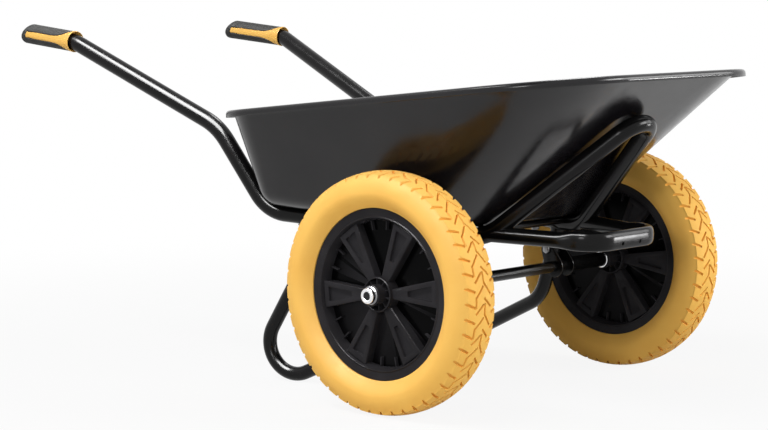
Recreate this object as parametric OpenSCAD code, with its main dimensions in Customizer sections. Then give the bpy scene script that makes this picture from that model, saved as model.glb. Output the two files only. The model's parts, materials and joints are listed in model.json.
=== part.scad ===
// Two wheel wheelbarrow: pressed tray on a bent tube frame, with solid tyres on moulded wheel centres.
// Millimetres. +X points to the nose, +Y to the left, +Z up. The origin is on the ground, in the middle of
// the length and the width. The modules work about a point on the ground below the middle of the axle.

/* [Wheels] */
// Outer diameter of the tyre
tyre_d = 400; // [380:1:402]
// Width of the tyre
tyre_w = 97; // [80:1:98]
// Distance between the middles of the two tyres
track = 647; // [640:1:720]
// Height of the tyre from the flange of the wheel centre to the tread
tyre_h = 59; // [54:1:66]
// Width of the wheel centre across its flanges
rim_w = 56; // [46:1:64]
// Length of the hub
hub_len = 100; // [90:1:110]
// Outer diameter of the hub tube
hub_d = 34; // [32:0.5:40]
// Number of spokes
spoke_count = 6; // [5:1:7]
// How far the right wheel rests turned, against the left one
right_wheel_turn_deg = 5; // [0:1:60]
// Width of a spoke where it leaves the hub
spoke_root_w = 17; // [12:0.5:22]
// Width of a spoke where it meets the rim
spoke_tip_w = 52; // [40:0.5:56]
// Thickness across the two faces of a spoke
spoke_t = 30; // [24:0.5:36]
// Thickness of the closed web between the spokes
web_t = 10; // [6:0.5:14]
// Number of times that the tread pattern repeats around the tyre
tread_count = 25; // [20:1:28]
// Depth of the tread grooves
tread_depth = 3; // [2:0.1:4]
// Width of the tread grooves
tread_groove_w = 2.6; // [2:0.1:3.5]

/* [Axle] */
// Diameter of the axle bar
axle_d = 20; // [18:0.5:22]
// Outer diameter of the spacer tubes on the axle
spacer_d = 26; // [25:0.5:32]
// Outer diameter of the bright inner washers
inner_washer_d = 30; // [28:0.5:36]
// Thickness of the inner washers
inner_washer_t = 5; // [3:0.5:8]
// Outer diameter of the domed axle caps
cap_d = 28; // [26:0.5:32]
// Thickness of the cheek plates that hold the axle
plate_t = 5; // [3:0.5:6]

/* [Frame] */
// Outer diameter of the frame tube
tube_d = 30; // [28:0.5:32]
// Wall of the frame tube
tube_wall = 2; // [1.5:0.1:3]
// Distance between the rails above the axle
rail_spread = 284.8; // [276:0.2:296]
// Angle in plan at which each side runs outwards to the back
splay_deg = 9.4; // [8.5:0.1:10]
// Height of the rails above the ground
rail_h = 299; // [296:1:310]
// Distance from the axle back to the bend where the rail meets the riser
rail_back = 382; // [378:1:400]
// Distance from the axle forward to the bend where the rail meets the hoop
rail_front = 77; // [76:1:84]
// Slope of the riser behind the tray
riser_deg = 56; // [50:0.5:58]
// Height that the riser climbs
riser_rise = 147; // [130:1:165]
// Angle in plan at which the riser runs outwards
riser_splay_deg = 14; // [9:0.5:16]
// Slope of the handle
handle_deg = 24.2; // [20:0.2:30]
// Height that the handle climbs
handle_rise = 147; // [125:1:165]
// Angle in plan at which the handle runs outwards
handle_splay_deg = 8.5; // [7:0.1:10]
// Slope of the stretch that carries the grip
grip_deg = 8; // [2:0.5:15]
// Angle in plan at which the grip runs outwards; below zero it turns in
grip_splay_deg = -3; // [-6:0.5:8]
// Length of the tube beyond the handle's upper bend
grip_run = 138; // [130:1:160]
// Slope of the nose hoop under the front wall
hoop_deg = 41.2; // [38:0.2:41.4]
// Distance from the front bend forward to where the hoop's two limbs would cross
hoop_reach = 250; // [240:1:256]
// Bend radius at the top of the hoop
hoop_r = 42; // [38:1:46]

/* [Legs] */
// Outer diameter of the leg tube
leg_d = 25; // [22:0.5:28]
// Wall of the leg tube
leg_wall = 2; // [1.5:0.1:3]
// Distance from the axle back to the lowest point of the foot
foot_back = 326; // [300:1:350]
// Bend radius of the foot
foot_r = 54; // [45:1:65]
// Slope of the rear limb
leg_rear_deg = 60; // [56:0.5:66]
// Slope of the lower limb
leg_low_deg = 25; // [20:0.5:28]
// Slope of the front limb
leg_front_deg = 72; // [68:0.5:76]

/* [Tip bar] */
// Diameter of the tip bar's tube before it is flattened
tip_d = 27; // [24:0.5:28]
// Height of the flattened tube
tip_flat_h = 32; // [29:0.5:34]
// Wall of the tip bar's tube
tip_wall = 2; // [1.5:0.1:3]
// Distance from the axle forward to the middle of the front stretch
tip_front = 245; // [235:1:255]
// Width of the bar between the middles of its limbs at the front
tip_w = 170; // [160:1:180]
// Drop of the bar below the rails
tip_drop = 20; // [18:0.5:24]
// Distance between the two holes in the front
tip_hole_gap = 49; // [30:1:52]
// Distance of these holes below the middle of the front
tip_hole_drop = 5; // [0:0.5:6]
// Diameter of these holes
tip_hole_d = 6.5; // [5:0.1:7]

/* [Tray] */
// Thickness of the sheet
sheet_t = 1.6; // [1.2:0.1:2.5]
// Distance from the axle back to the rear of the floor
floor_back = 388; // [370:1:392]
// Distance from the axle forward to the front of the floor
floor_front = 96; // [88:1:97]
// Half the width of the floor
floor_half_w = 246; // [230:1:248]
// Corner radius of the floor at the back
floor_rear_r = 70; // [60:1:90]
// Corner radius of the floor at the nose
floor_nose_r = 150; // [148:1:170]
// Radius between the floor and the walls
floor_fillet = 40; // [34:1:46]
// Distance from the axle back to the rim
rim_back = 420; // [405:1:440]
// Distance from the axle forward to the rim
rim_front = 336; // [326:1:350]
// Half the width inside the rim's lip
rim_half_w = 310; // [300:1:320]
// Corner radius of the rim at the back
rim_rear_r = 90; // [70:1:110]
// Corner radius of the rim at the nose
rim_nose_r = 182; // [170:1:205]
// Height of the rim above the ground, over the axle
rim_h = 522; // [510:1:540]
// Slope of the rim, rising to the nose
rim_deg = 6; // [5:0.1:7]
// Width of the rim's lip
lip_w = 13; // [8:0.5:18]
// Depth of the lip's turned-down edge
lip_drop = 12; // [8:0.5:18]

/* [Grips] */
// Length of the grip
grip_len = 129; // [110:1:131]
// Diameter of the soft cover
grip_d = 39; // [38:0.5:44]
// Diameter of the collar at the front of the grip
collar_d = 42; // [40:0.5:46]
// Length of the collar
collar_len = 20; // [14:1:26]
// Width of the strip that shows on each side
strip_w = 13; // [9:0.5:18]

/* [Fasteners] */
// Diameter of the tray bolts and of the plate bolts
bolt_d = 8; // [6:0.5:9]
// Distance from the top of a leg's rear limb back to the rear tray bolt
rear_bolt_gap = 55; // [45:1:70]
// Distance from the top of a leg's front limb back to the front tray bolt
front_bolt_gap = 67; // [55:1:90]

/* [Hidden] */

// Facets of a full circle, and of the circles inside a hull
$fn = 96;
hull_fn = 48;
tip_fn = 32;

// Fits: a running fit on the axle, parts that are pushed together, and faces that only touch
running_gap = 0.05;
push_gap = 0.1;
touch_gap = 0.2;
// End play of a hub between its washers
hub_play = 0.4;
// How far a cut runs past the face it starts from
overrun = 1;
// Runs shorter than this are left out
slight = 0.001;
// How much thicker a bend is than the runs, and how far the runs reach into it
bend_swell = 0.2;
run_overlap = 1;

// Colours
tyre_colour = [0.99, 0.72, 0.25];
black_colour = [0.10, 0.10, 0.11];
tray_colour = [0.13, 0.13, 0.14];
plastic_colour = [0.07, 0.07, 0.08];
bright_colour = [0.80, 0.81, 0.83];

// Wheel and axle, worked out
wheel_r = tyre_d / 2;
rim_r = wheel_r - tyre_h;
half_track = track / 2;
hub_end = half_track + hub_len / 2;
hub_start = half_track - hub_len / 2;
outer_washer_t = 2;
cap_len = 13;
cap_wall = 2;
axle_half = hub_end + hub_play + outer_washer_t + cap_len - 2 * cap_wall;
// Straight stretch of the tyre's side, between its two roundings
tyre_side_flat = 3.5;
tyre_shoulder_r = tyre_h - (tyre_w - rim_w) / 2 - tyre_side_flat;
tyre_crown_r = 260;
// Grooves in one repeat of the tread: from and to, each as a share of the half width (positive is outboard)
// and a share of the repeat
tread_shares = [
    [[0.03, 0], [0.35, 0.29]], [[0.01, 0.43], [0.36, 0.79]], [[0.36, 0.76], [0.36, 1.09]],
    [[-0.02, -0.19], [-0.34, 0.08]], [[-0.04, -0.02], [-0.04, 0.34]], [[-0.04, 0.32], [-0.34, 0.68]],
    [[0.92, -0.09], [0.43, 0.12]], [[0.92, 0.41], [0.43, 0.62]],
    [[-0.92, 0.09], [-0.43, 0.3]], [[-0.92, 0.59], [-0.43, 0.8]]
];
channel_depth = 10;
flange_t = 8;
rim_wall = 11;
bush_wall = 4;
bush_len = 26;
hub_ring_d = 58;
hub_ring_wall = 3;
hub_ring_h = rim_w;
fin_count = 10;
fin_t = 2;
fin_setback = 1.5;
pocket_depth = 6;
pocket_rim = 6;
pocket_inner_share = 0.38;
rim_rib_len = 16;
rim_rib_t = 3;
rim_rib_h = 10;
rim_rib_spread_deg = 8;

// Frame, worked out: points of the left side, from the hoop to the end of the grip
tube_r = tube_d / 2;
rail_bend_r = 75;
handle_bend_r = 110;
grip_bend_r = 80;
front_bend_r = 75;
riser_run = riser_rise / tan(riser_deg);
handle_run = handle_rise / tan(handle_deg);

function side_y(x) = rail_spread / 2 - x * tan(splay_deg);
function on_side(x, z) = [x, side_y(x), z];

front_bend = on_side(rail_front, rail_h);
hoop_crossing = [rail_front + hoop_reach, 0, rail_h + hoop_reach * tan(hoop_deg)];
hoop_limb = unit(front_bend - hoop_crossing);
hoop_axis = unit([hoop_limb.x, 0, hoop_limb.z]);
hoop_top = hoop_crossing + hoop_axis * (hoop_r / hoop_limb.y - hoop_r);
hoop_corner = hoop_top + [0, hoop_r * tan(acos(hoop_limb.y) / 2), 0];
rail_end = on_side(-rail_back, rail_h);
riser_top = rail_end + [-riser_run, riser_run * tan(riser_splay_deg), riser_rise];
handle_top = riser_top + [-handle_run, handle_run * tan(handle_splay_deg), handle_rise];
grip_way = [
    -cos(grip_deg) * cos(grip_splay_deg), cos(grip_deg) * sin(grip_splay_deg), sin(grip_deg)
];
frame_points = [
    hoop_top, hoop_corner, front_bend, rail_end, riser_top, handle_top, handle_top + grip_way * grip_run
];
frame_radii = [0, hoop_r, front_bend_r, rail_bend_r, handle_bend_r, grip_bend_r, 0];

// Legs, worked out: the foot is an arc between the rear limb and the lower limb
leg_r = leg_d / 2;
leg_axle_gap = 1;
leg_bend_r = 70;
foot_centre = [-foot_back, leg_r + foot_r];
rear_dir = [cos(leg_rear_deg), sin(leg_rear_deg)];
low_dir = [cos(leg_low_deg), sin(leg_low_deg)];
front_dir = [cos(leg_front_deg), sin(leg_front_deg)];
rear_point = foot_centre + foot_r * [-rear_dir.y, rear_dir.x];
low_point = foot_centre + foot_r * [low_dir.y, -low_dir.x];
front_point = [-(leg_r + axle_d / 2 + leg_axle_gap) / front_dir.y, wheel_r];

// Where two lines in the side view cross, each given by a point and a direction
function crossing(p, u, q, v) =
    p + u * ((q.x - p.x) * v.y - (q.y - p.y) * v.x) / (u.x * v.y - u.y * v.x);
function at_height(p, u, z) = p + u * (z - p.y) / u.y;

leg_back_top = at_height(rear_point, rear_dir, rail_h);
leg_front_top = at_height(front_point, front_dir, rail_h);
leg_profile = [
    leg_back_top,
    crossing(rear_point, rear_dir, low_point, low_dir),
    crossing(low_point, low_dir, front_point, front_dir),
    leg_front_top
];
leg_line = [for (p = leg_profile) on_side(p.x, p.y)];
// The legs lie in a plane that is turned by the splay, so the foot's arc is found there and set on the ground
foot_bisector = unit(heading(leg_line, 1) - heading(leg_line, 0));
foot_mid_z = leg_line[1].z + foot_bisector.z * foot_r / cos(bend_angle(leg_line, 1) / 2);
leg_raise = leg_r + bend_swell + foot_r - foot_mid_z;
leg_points = [for (p = leg_line) p + [0, 0, leg_raise]];
leg_radii = [0, foot_r, leg_bend_r, 0];

// Cheek plates either side of each leg, at the axle
plate_rim = 9;
plate_bolt_up = 30;
plate_bolt_point = at_height(front_point, front_dir, wheel_r + plate_bolt_up);
plate_end_r = 13;
plate_lead = 4;
plate_inner_y = side_y(plate_bolt_point.x + plate_lead) - leg_r / cos(splay_deg) - touch_gap;
plate_outer_y = side_y(front_point.x) + leg_r / cos(splay_deg) + touch_gap;
washer_inner_y = hub_start - hub_play - inner_washer_t;

// Fasteners, worked out from the bolt
bolt_clear = 0.5;
bolt_hole_d = bolt_d + 2 * bolt_clear;
head_d = 2.2 * bolt_d;
head_h = 0.55 * bolt_d;
nut_af = 1.625 * bolt_d;
nut_h = 0.8 * bolt_d;
washer_d = 2.1 * bolt_d;
washer_t = 0.2 * bolt_d;
bolt_tail = 3;
hex_sides = 6;
tray_bolt_xs = [leg_back_top.x - rear_bolt_gap, leg_front_top.x - front_bolt_gap];

// Tip bar, worked out
tip_flat_w = 2 * (PI * tip_d / 2 - tip_flat_h) / (PI - 2);
tip_z = rail_h - tip_drop;
tip_root_x = rail_front - tube_d;
tip_bend_r = 48;
tip_taper = 34;
tip_root = [tip_root_x, side_y(tip_root_x), tip_z];
tip_corner = [tip_front, tip_w / 2, tip_z];
tip_turn = acos(unit(tip_root - tip_corner).y);
tip_front_half = tip_w / 2 - tip_bend_r * tan(tip_turn / 2);
tip_limb_len = norm(tip_root - tip_corner) - tip_bend_r * tan(tip_turn / 2);

// Tray, worked out
floor_z = rail_h + tube_r + bend_swell + touch_gap;
slab_t = 0.5;

// Grips, worked out
core_d = tube_d + 5;
grip_round = 8;
grip_axis_deg = acos(-grip_way.x);
grip_end_cap = 10;
collar_taper = 5;
strip_flare_share = 0.3;

// Ends of the object along X, which put the origin in the middle of its length
grip_end_reach = (grip_end_cap + grip_run - grip_round) * cos(grip_axis_deg)
    + (grip_d / 2 - grip_round) * sin(grip_axis_deg) + grip_round;
back_end_x = handle_top.x - grip_end_reach;
nose_end_x = (rim_front + lip_w) * cos(rim_deg) + lip_drop * sin(rim_deg);
origin_x = (back_end_x + nose_end_x) / 2;

// Small helpers
function unit(v) = v / norm(v);
function frame_matrix(ex, ey, ez, p) = [
    [ex.x, ey.x, ez.x, p.x], [ex.y, ey.y, ez.y, p.y], [ex.z, ey.z, ez.z, p.z], [0, 0, 0, 1]
];

// Everything is drawn about the axle and then moved to the middle of the length
module at_origin() {
    translate([-origin_x, 0, 0]) children();
}

module mirrored(right) {
    if (right) mirror([0, 1, 0]) children();
    else children();
}

module both_sides() {
    children();
    mirror([0, 1, 0]) children();
}

// Puts a shape drawn along +Z onto the axle, with +Z outboard on the left, y from the middle of the object
module on_axle(y) {
    translate([0, y, wheel_r]) rotate([-90, 0, 0]) children();
}

// A round section, hollow where it has an inner diameter
module ring(od, id) {
    difference() {
        circle(d = od);
        if (id > 0) circle(d = id);
    }
}

// Bent tubes: a chain of straight runs and bends, each drawn where the one before it ends
function heading(pts, i) = unit(pts[i + 1] - pts[i]);
function bend_angle(pts, i) = acos(heading(pts, i - 1) * heading(pts, i));
function setback(pts, radii, i) =
    i == 0 || i == len(pts) - 1 ? 0 : radii[i] * tan(bend_angle(pts, i) / 2);
function run_length(pts, radii, i) =
    norm(pts[i + 1] - pts[i]) - setback(pts, radii, i) - setback(pts, radii, i + 1);
// Direction from the tube towards the middle of the bend at a corner, as the tube comes into it and leaves it
function bend_side(pts, i) = unit(heading(pts, i) - heading(pts, i - 1) * cos(bend_angle(pts, i)));
function bend_side_out(pts, i) =
    bend_side(pts, i) * cos(bend_angle(pts, i)) - heading(pts, i - 1) * sin(bend_angle(pts, i));
// Turn about the tube between one bend and the next
function bend_roll(pts, i) =
    atan2(cross(bend_side_out(pts, i), bend_side(pts, i + 1)) * heading(pts, i),
        bend_side_out(pts, i) * bend_side(pts, i + 1));

// Quarter turn that stands a revolved bend on its start
bend_stand = [[-1, 0, 0, 0], [0, 0, 1, 0], [0, 1, 0, 0], [0, 0, 0, 1]];

// Moves what follows to the end of a bend
module after_bend(r, angle) {
    translate([r, 0, 0]) rotate([0, angle, 0]) translate([-r, 0, 0]) children();
}

module swept_bend(r, angle) {
    translate([r, 0, 0]) multmatrix(bend_stand) rotate_extrude(angle = angle) translate([r, 0]) children();
}

// A bend is a little thicker than the runs, which end inside it, so the pieces join cleanly
module tube_chain(pts, radii, od, id, i, first, last) {
    run = run_length(pts, radii, i);
    lap_in = i > first ? run_overlap : 0;
    lap_out = i < last ? run_overlap : 0;
    if (run > slight) translate([0, 0, -lap_in]) linear_extrude(run + lap_in + lap_out) ring(od, id);
    if (i < last) translate([0, 0, run]) {
        angle = bend_angle(pts, i + 1);
        swept_bend(radii[i + 1], angle) ring(od + 2 * bend_swell, id > 0 ? id - 2 * bend_swell : 0);
        after_bend(radii[i + 1], angle)
            rotate(i + 1 < len(pts) - 2 ? bend_roll(pts, i + 1) : 0)
                tube_chain(pts, radii, od, id, i + 1, first, last);
    }
}

// A tube along the points, or the stretch of it between two of its runs
module bent_tube(pts, radii, od, id, first = 0, last = undef) {
    run = heading(pts, first);
    side = bend_side(pts, first + 1);
    start = pts[first] + run * setback(pts, radii, first);
    multmatrix(frame_matrix(side, cross(run, side), run, start))
        tube_chain(pts, radii, od, id, first, first, is_undef(last) ? len(pts) - 2 : last);
}

// Tray
module rounded_plan(back, front, half_w, rear_r, nose_r, grow) {
    for (s = [-1, 1]) {
        translate([-back + rear_r, s * (half_w - rear_r)]) circle(rear_r + grow);
        translate([front - nose_r, s * (half_w - nose_r)]) circle(nose_r + grow);
    }
    mid = [-back + rear_r, front - nose_r];
    translate([mid[0], -half_w - grow]) square([mid[1] - mid[0], 2 * (half_w + grow)]);
    translate([-back - grow, -half_w + rear_r]) square([back + grow + mid[1], 2 * (half_w - rear_r)]);
    translate([mid[0], -half_w + nose_r]) square([front + grow - mid[0], 2 * (half_w - nose_r)]);
}

module rim_plan(grow) {
    rounded_plan(rim_back, rim_front, rim_half_w, rim_rear_r, rim_nose_r, grow);
}

// Puts children into the sloping plane of the rim
module on_rim() {
    translate([0, 0, rim_h]) rotate([0, -rim_deg, 0]) children();
}

// A corner of the floor: a disc with a rounded edge
module floor_corner(r, fillet) {
    rotate_extrude() intersection() {
        translate([r - floor_fillet, 0]) circle(fillet);
        translate([0, -r]) square([2 * r, 2 * r]);
    }
}

// The body of the tray as one full block, drawn in by inset from its outer face
module tray_block(inset, above) {
    fillet = floor_fillet - inset;
    hull($fn = hull_fn) {
        for (s = [-1, 1]) {
            translate([-floor_back + floor_rear_r, s * (floor_half_w - floor_rear_r), floor_z + floor_fillet])
                floor_corner(floor_rear_r, fillet);
            translate([floor_front - floor_nose_r, s * (floor_half_w - floor_nose_r), floor_z + floor_fillet])
                floor_corner(floor_nose_r, fillet);
        }
        on_rim() translate([0, 0, -slab_t]) linear_extrude(slab_t + above) rim_plan(-inset);
    }
}

module tray_bolt_places() {
    both_sides() for (x = tray_bolt_xs) translate([x, side_y(x), 0]) children();
}

module tray() {
    color(tray_colour) at_origin() difference() {
        union() {
            tray_block(0, 0);
            on_rim() translate([0, 0, -sheet_t]) linear_extrude(sheet_t) rim_plan(lip_w);
            on_rim() translate([0, 0, -lip_drop]) linear_extrude(lip_drop) difference() {
                rim_plan(lip_w);
                rim_plan(lip_w - sheet_t);
            }
        }
        tray_block(sheet_t, overrun);
        tray_bolt_places() translate([0, 0, floor_z - overrun])
            cylinder(d = bolt_hole_d, h = sheet_t + 2 * overrun);
    }
}

// Frame
module frame_tube(right) {
    color(black_colour) at_origin() mirrored(right) difference() {
        bent_tube(frame_points, frame_radii, tube_d, tube_d - 2 * tube_wall);
        for (x = tray_bolt_xs)
            translate([x, side_y(x), rail_h - tube_d]) cylinder(d = bolt_hole_d, h = 2 * tube_d);
    }
}

module leg(right) {
    color(black_colour) at_origin() mirrored(right) difference() {
        bent_tube(leg_points, leg_radii, leg_d, leg_d - 2 * leg_wall);
        bent_tube(frame_points, frame_radii, tube_d + 2 * touch_gap, 0, 2, 2);
        translate([plate_bolt_point.x, plate_inner_y - overrun, plate_bolt_point.y]) rotate([-90, 0, 0])
            cylinder(d = bolt_hole_d, h = plate_outer_y - plate_inner_y + 2 * overrun);
    }
}

// Section of the flattened tube, with its long side upright
module flat_section(h, w) {
    square([w, h - w], center = true);
    for (s = [-1, 1]) translate([0, s * (h - w) / 2]) circle(d = w);
}

module flat_ring(swell) {
    difference() {
        flat_section(tip_flat_h + 2 * swell, tip_flat_w + 2 * swell);
        flat_section(tip_flat_h - 2 * (tip_wall + swell), tip_flat_w - 2 * (tip_wall + swell));
    }
}

// Stretch where the flattened front becomes the round limb; its ends lie inside the walls that they join
module tip_change(inset) {
    hull($fn = tip_fn) {
        translate([0, 0, -run_overlap]) linear_extrude(slab_t)
            flat_section(tip_flat_h - 2 * inset, tip_flat_w - 2 * inset);
        translate([0, 0, tip_taper + run_overlap - slab_t]) linear_extrude(slab_t)
            circle(d = tip_d - 2 * inset);
    }
}

// Moves to the front stretch, with +Z along it to the left and +X to the back
module on_tip_front(y) {
    multmatrix(frame_matrix([-1, 0, 0], [0, 0, 1], [0, 1, 0], [tip_front, y, tip_z])) children();
}

module on_tip_limb() {
    on_tip_front(tip_front_half) after_bend(tip_bend_r, tip_turn) children();
}

module tip_bar() {
    front_half = tip_front_half + run_overlap;
    color(black_colour) at_origin() {
        difference() {
            on_tip_front(-front_half) linear_extrude(2 * front_half) flat_ring(0);
            for (s = [-1, 1]) translate([tip_front - tip_flat_w, s * tip_hole_gap / 2, tip_z - tip_hole_drop])
                rotate([0, 90, 0]) cylinder(d = tip_hole_d, h = 2 * tip_flat_w);
        }
        both_sides() {
            on_tip_front(tip_front_half) swept_bend(tip_bend_r, tip_turn) flat_ring(bend_swell);
            on_tip_limb() difference() {
                tip_change(push_gap);
                tip_change(tip_wall - push_gap);
            }
            difference() {
                on_tip_limb() translate([0, 0, tip_taper])
                    linear_extrude(tip_limb_len - tip_taper) ring(tip_d, tip_d - 2 * tip_wall);
                bent_tube(frame_points, frame_radii, tube_d + 2 * touch_gap, 0, 1, 2);
            }
        }
    }
}

// Axle
module axle() {
    color(black_colour) at_origin() on_axle(-axle_half) cylinder(d = axle_d, h = 2 * axle_half);
}

// Outline of a cheek: a ring about the axle joined to the bolt by its common tangents
module cheek_outline() {
    r1 = axle_d / 2 + plate_rim;
    r2 = plate_end_r;
    way = [plate_bolt_point.x, plate_bolt_point.y - wheel_r];
    lean = atan2(way.y, way.x);
    wrap = acos((r1 - r2) / norm(way));
    circle(r1);
    translate(way) circle(r2);
    polygon([
        for (s = [-1, 1]) r1 * [cos(lean + s * wrap), sin(lean + s * wrap)],
        for (s = [1, -1]) way + r2 * [cos(lean + s * wrap), sin(lean + s * wrap)]
    ]);
}

module cheek(y) {
    translate([0, y + plate_t, wheel_r]) rotate([90, 0, 0]) linear_extrude(plate_t) difference() {
        cheek_outline();
        circle(d = axle_d + 2 * push_gap);
        translate([plate_bolt_point.x, plate_bolt_point.y - wheel_r]) circle(d = bolt_hole_d);
    }
}

module axle_plates(right) {
    color(black_colour) at_origin() mirrored(right) {
        cheek(plate_inner_y - plate_t);
        cheek(plate_outer_y);
    }
}

// Bolt along +Z with its head below zero
module hex_bolt(grip) {
    translate([0, 0, -head_h]) cylinder(d = nut_af / cos(180 / hex_sides), h = head_h, $fn = hex_sides);
    cylinder(d = bolt_d, h = grip);
}

module nut() {
    difference() {
        cylinder(d = nut_af / cos(180 / hex_sides), h = nut_h, $fn = hex_sides);
        translate([0, 0, -overrun]) cylinder(d = bolt_d + 2 * push_gap, h = nut_h + 2 * overrun);
    }
}

module on_plate_bolt(y) {
    translate([plate_bolt_point.x, y, plate_bolt_point.y]) rotate([-90, 0, 0]) children();
}

plate_stack = plate_outer_y - plate_inner_y + 2 * plate_t;

module plate_bolts() {
    color(bright_colour) at_origin() both_sides() on_plate_bolt(plate_inner_y - plate_t)
        hex_bolt(plate_stack + nut_h + bolt_tail);
}

module plate_nuts() {
    color(bright_colour) at_origin() both_sides() on_plate_bolt(plate_outer_y + plate_t) nut();
}

module axle_spacer(right) {
    start = plate_outer_y + plate_t;
    color(black_colour) at_origin() mirrored(right) on_axle(start)
        linear_extrude(washer_inner_y - start) ring(spacer_d, axle_d + 2 * push_gap);
}

module inner_washers() {
    color(bright_colour) at_origin() both_sides() on_axle(washer_inner_y)
        linear_extrude(inner_washer_t) ring(inner_washer_d, axle_d + 2 * push_gap);
}

module outer_washers() {
    color(bright_colour) at_origin() both_sides() on_axle(hub_end + hub_play)
        linear_extrude(outer_washer_t) ring(inner_washer_d, axle_d + 2 * push_gap);
}

module axle_caps() {
    bore_r = axle_d / 2 + push_gap;
    rim_h_share = 0.4;
    dome_h = cap_len * (1 - rim_h_share);
    dome_r = (cap_d * cap_d / 4 + dome_h * dome_h) / (2 * dome_h);
    color(bright_colour) at_origin() both_sides() on_axle(hub_end + hub_play + outer_washer_t)
        rotate_extrude() difference() {
            intersection() {
                square([cap_d / 2, cap_len]);
                translate([0, cap_len - dome_r]) circle(dome_r);
            }
            translate([0, -overrun]) square([bore_r, cap_len - 2 * cap_wall + overrun + push_gap]);
        }
}

// Wheels: drawn along +Z from the middle of the tyre
module tyre_section() {
    low_r = (tyre_w - rim_w) / 2;
    half = tyre_w / 2;
    intersection() {
        union() {
            intersection() {
                union() {
                    for (s = [-1, 1]) translate([wheel_r - tyre_shoulder_r, s * (half - tyre_shoulder_r)])
                        circle(tyre_shoulder_r);
                }
                translate([rim_r + low_r, -half]) square([wheel_r - rim_r - low_r, tyre_w]);
            }
            for (s = [-1, 1]) translate([rim_r + low_r, s * (half - low_r)]) circle(low_r);
            translate([rim_r + low_r, -half])
                square([wheel_r - tyre_shoulder_r - rim_r - low_r, tyre_w]);
            translate([rim_r + push_gap, -rim_w / 2])
                square([wheel_r - rim_r - push_gap, rim_w]);
            translate([rim_r - channel_depth + push_gap, -rim_w / 2 + flange_t + push_gap])
                square([channel_depth + push_gap, rim_w - 2 * (flange_t + push_gap)]);
        }
        translate([wheel_r - tyre_crown_r, 0]) circle(tyre_crown_r);
    }
}

module wheel_place(right) {
    at_origin() mirrored(right) on_axle(half_track) children();
}

// Radius of the tyre at a distance from its middle plane
function tread_r(z) = let (past = max(abs(z) - tyre_w / 2 + tyre_shoulder_r, 0))
    min(wheel_r - tyre_crown_r + sqrt(pow(tyre_crown_r, 2) - pow(z, 2)),
        wheel_r - tyre_shoulder_r + sqrt(pow(tyre_shoulder_r, 2) - pow(past, 2)));

// One groove of the tread as a slot that leans across the tyre
module tread_groove(from, to) {
    pitch = 360 / tread_count;
    z = (from[0] + to[0]) * tyre_w / 4;
    run = (to[0] - from[0]) * tyre_w / 2;
    rise = (to[1] - from[1]) * wheel_r * pitch * PI / 180;
    rotate((from[1] + to[1]) / 2 * pitch) translate([tread_r(z) - tread_depth, 0, z])
        rotate([-atan2(rise, run), 0, 0])
            translate([0, -tread_groove_w / 2, -norm([run, rise]) / 2])
                cube([tyre_shoulder_r, tread_groove_w, norm([run, rise])]);
}

module tyre(right) {
    color(tyre_colour) wheel_place(right) difference() {
        rotate_extrude() tyre_section();
        for (i = [0:tread_count - 1], g = tread_shares)
            rotate(i * 360 / tread_count) tread_groove(g[0], g[1]);
    }
}

module rim_section() {
    half = rim_w / 2;
    difference() {
        translate([rim_r - channel_depth - rim_wall, -half]) square([channel_depth + rim_wall, rim_w]);
        translate([rim_r - channel_depth, -half + flange_t])
            square([channel_depth + overrun, rim_w - 2 * flange_t]);
    }
    translate([hub_d / 2 - bush_wall, -web_t / 2])
        square([rim_r - channel_depth - hub_d / 2 + bush_wall - rim_wall / 2, web_t]);
    translate([0, -hub_len / 2]) square([hub_d / 2, hub_len]);
    translate([hub_ring_d / 2 - hub_ring_wall, -hub_ring_h / 2]) square([hub_ring_wall, hub_ring_h]);
}

// A spoke in plan: straight sides that spread from the hub to the rim
module spoke_plan(inset, from_r, to_r) {
    hub_r = hub_ring_d / 2;
    spread = (spoke_tip_w - spoke_root_w) / (rim_r - hub_r);
    root = spoke_root_w + spread * (from_r - hub_r) - 2 * inset;
    tip = spoke_root_w + spread * (to_r - hub_r) - 2 * inset;
    polygon([[from_r, -root / 2], [to_r, -tip / 2], [to_r, tip / 2], [from_r, root / 2]]);
}

module wheel_centre(right) {
    inside_r = rim_r - channel_depth - rim_wall;
    hub_r = hub_ring_d / 2 - hub_ring_wall / 2;
    pocket_from = hub_r + (inside_r - hub_r) * pocket_inner_share;
    color(plastic_colour) wheel_place(right) rotate(right ? -right_wheel_turn_deg : 0) difference() {
        union() {
            rotate_extrude() rim_section();
            for (i = [0:spoke_count - 1]) rotate(i * 360 / spoke_count) {
                translate([0, 0, -spoke_t / 2]) linear_extrude(spoke_t)
                    spoke_plan(0, hub_r, inside_r + rim_wall / 2);
                for (s = [-1, 1]) rotate(180 / spoke_count + s * rim_rib_spread_deg)
                    translate([inside_r - rim_rib_len, -rim_rib_t / 2, -web_t / 2 - rim_rib_h / 2])
                        cube([rim_rib_len + rim_wall / 2, rim_rib_t, web_t + rim_rib_h]);
            }
            for (i = [0:fin_count - 1]) rotate((i + 1 / 2) * 360 / fin_count)
                translate([hub_d / 2 - bush_wall / 2, -fin_t / 2, -hub_ring_h / 2 + fin_setback])
                    cube([hub_r - hub_d / 2 + bush_wall / 2, fin_t, hub_ring_h - 2 * fin_setback]);
        }
        for (i = [0:spoke_count - 1], s = [0, 1]) rotate(i * 360 / spoke_count) mirror([0, 0, s])
            translate([0, 0, spoke_t / 2 - pocket_depth]) linear_extrude(pocket_depth + overrun)
                spoke_plan(pocket_rim, pocket_from, inside_r - pocket_rim);
        translate([0, 0, -hub_len / 2 - overrun])
            cylinder(d = hub_d - 2 * bush_wall, h = hub_len + 2 * overrun);
    }
}

module bush() {
    bore_d = axle_d + 2 * running_gap;
    body_d = hub_d - 2 * bush_wall - 2 * push_gap;
    translate([0, 0, hub_len / 2 - bush_len]) linear_extrude(bush_len) ring(body_d, bore_d);
}

module hub_bushes(right) {
    color(plastic_colour) wheel_place(right) for (s = [0, 1]) mirror([0, 0, s]) bush();
}

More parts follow.
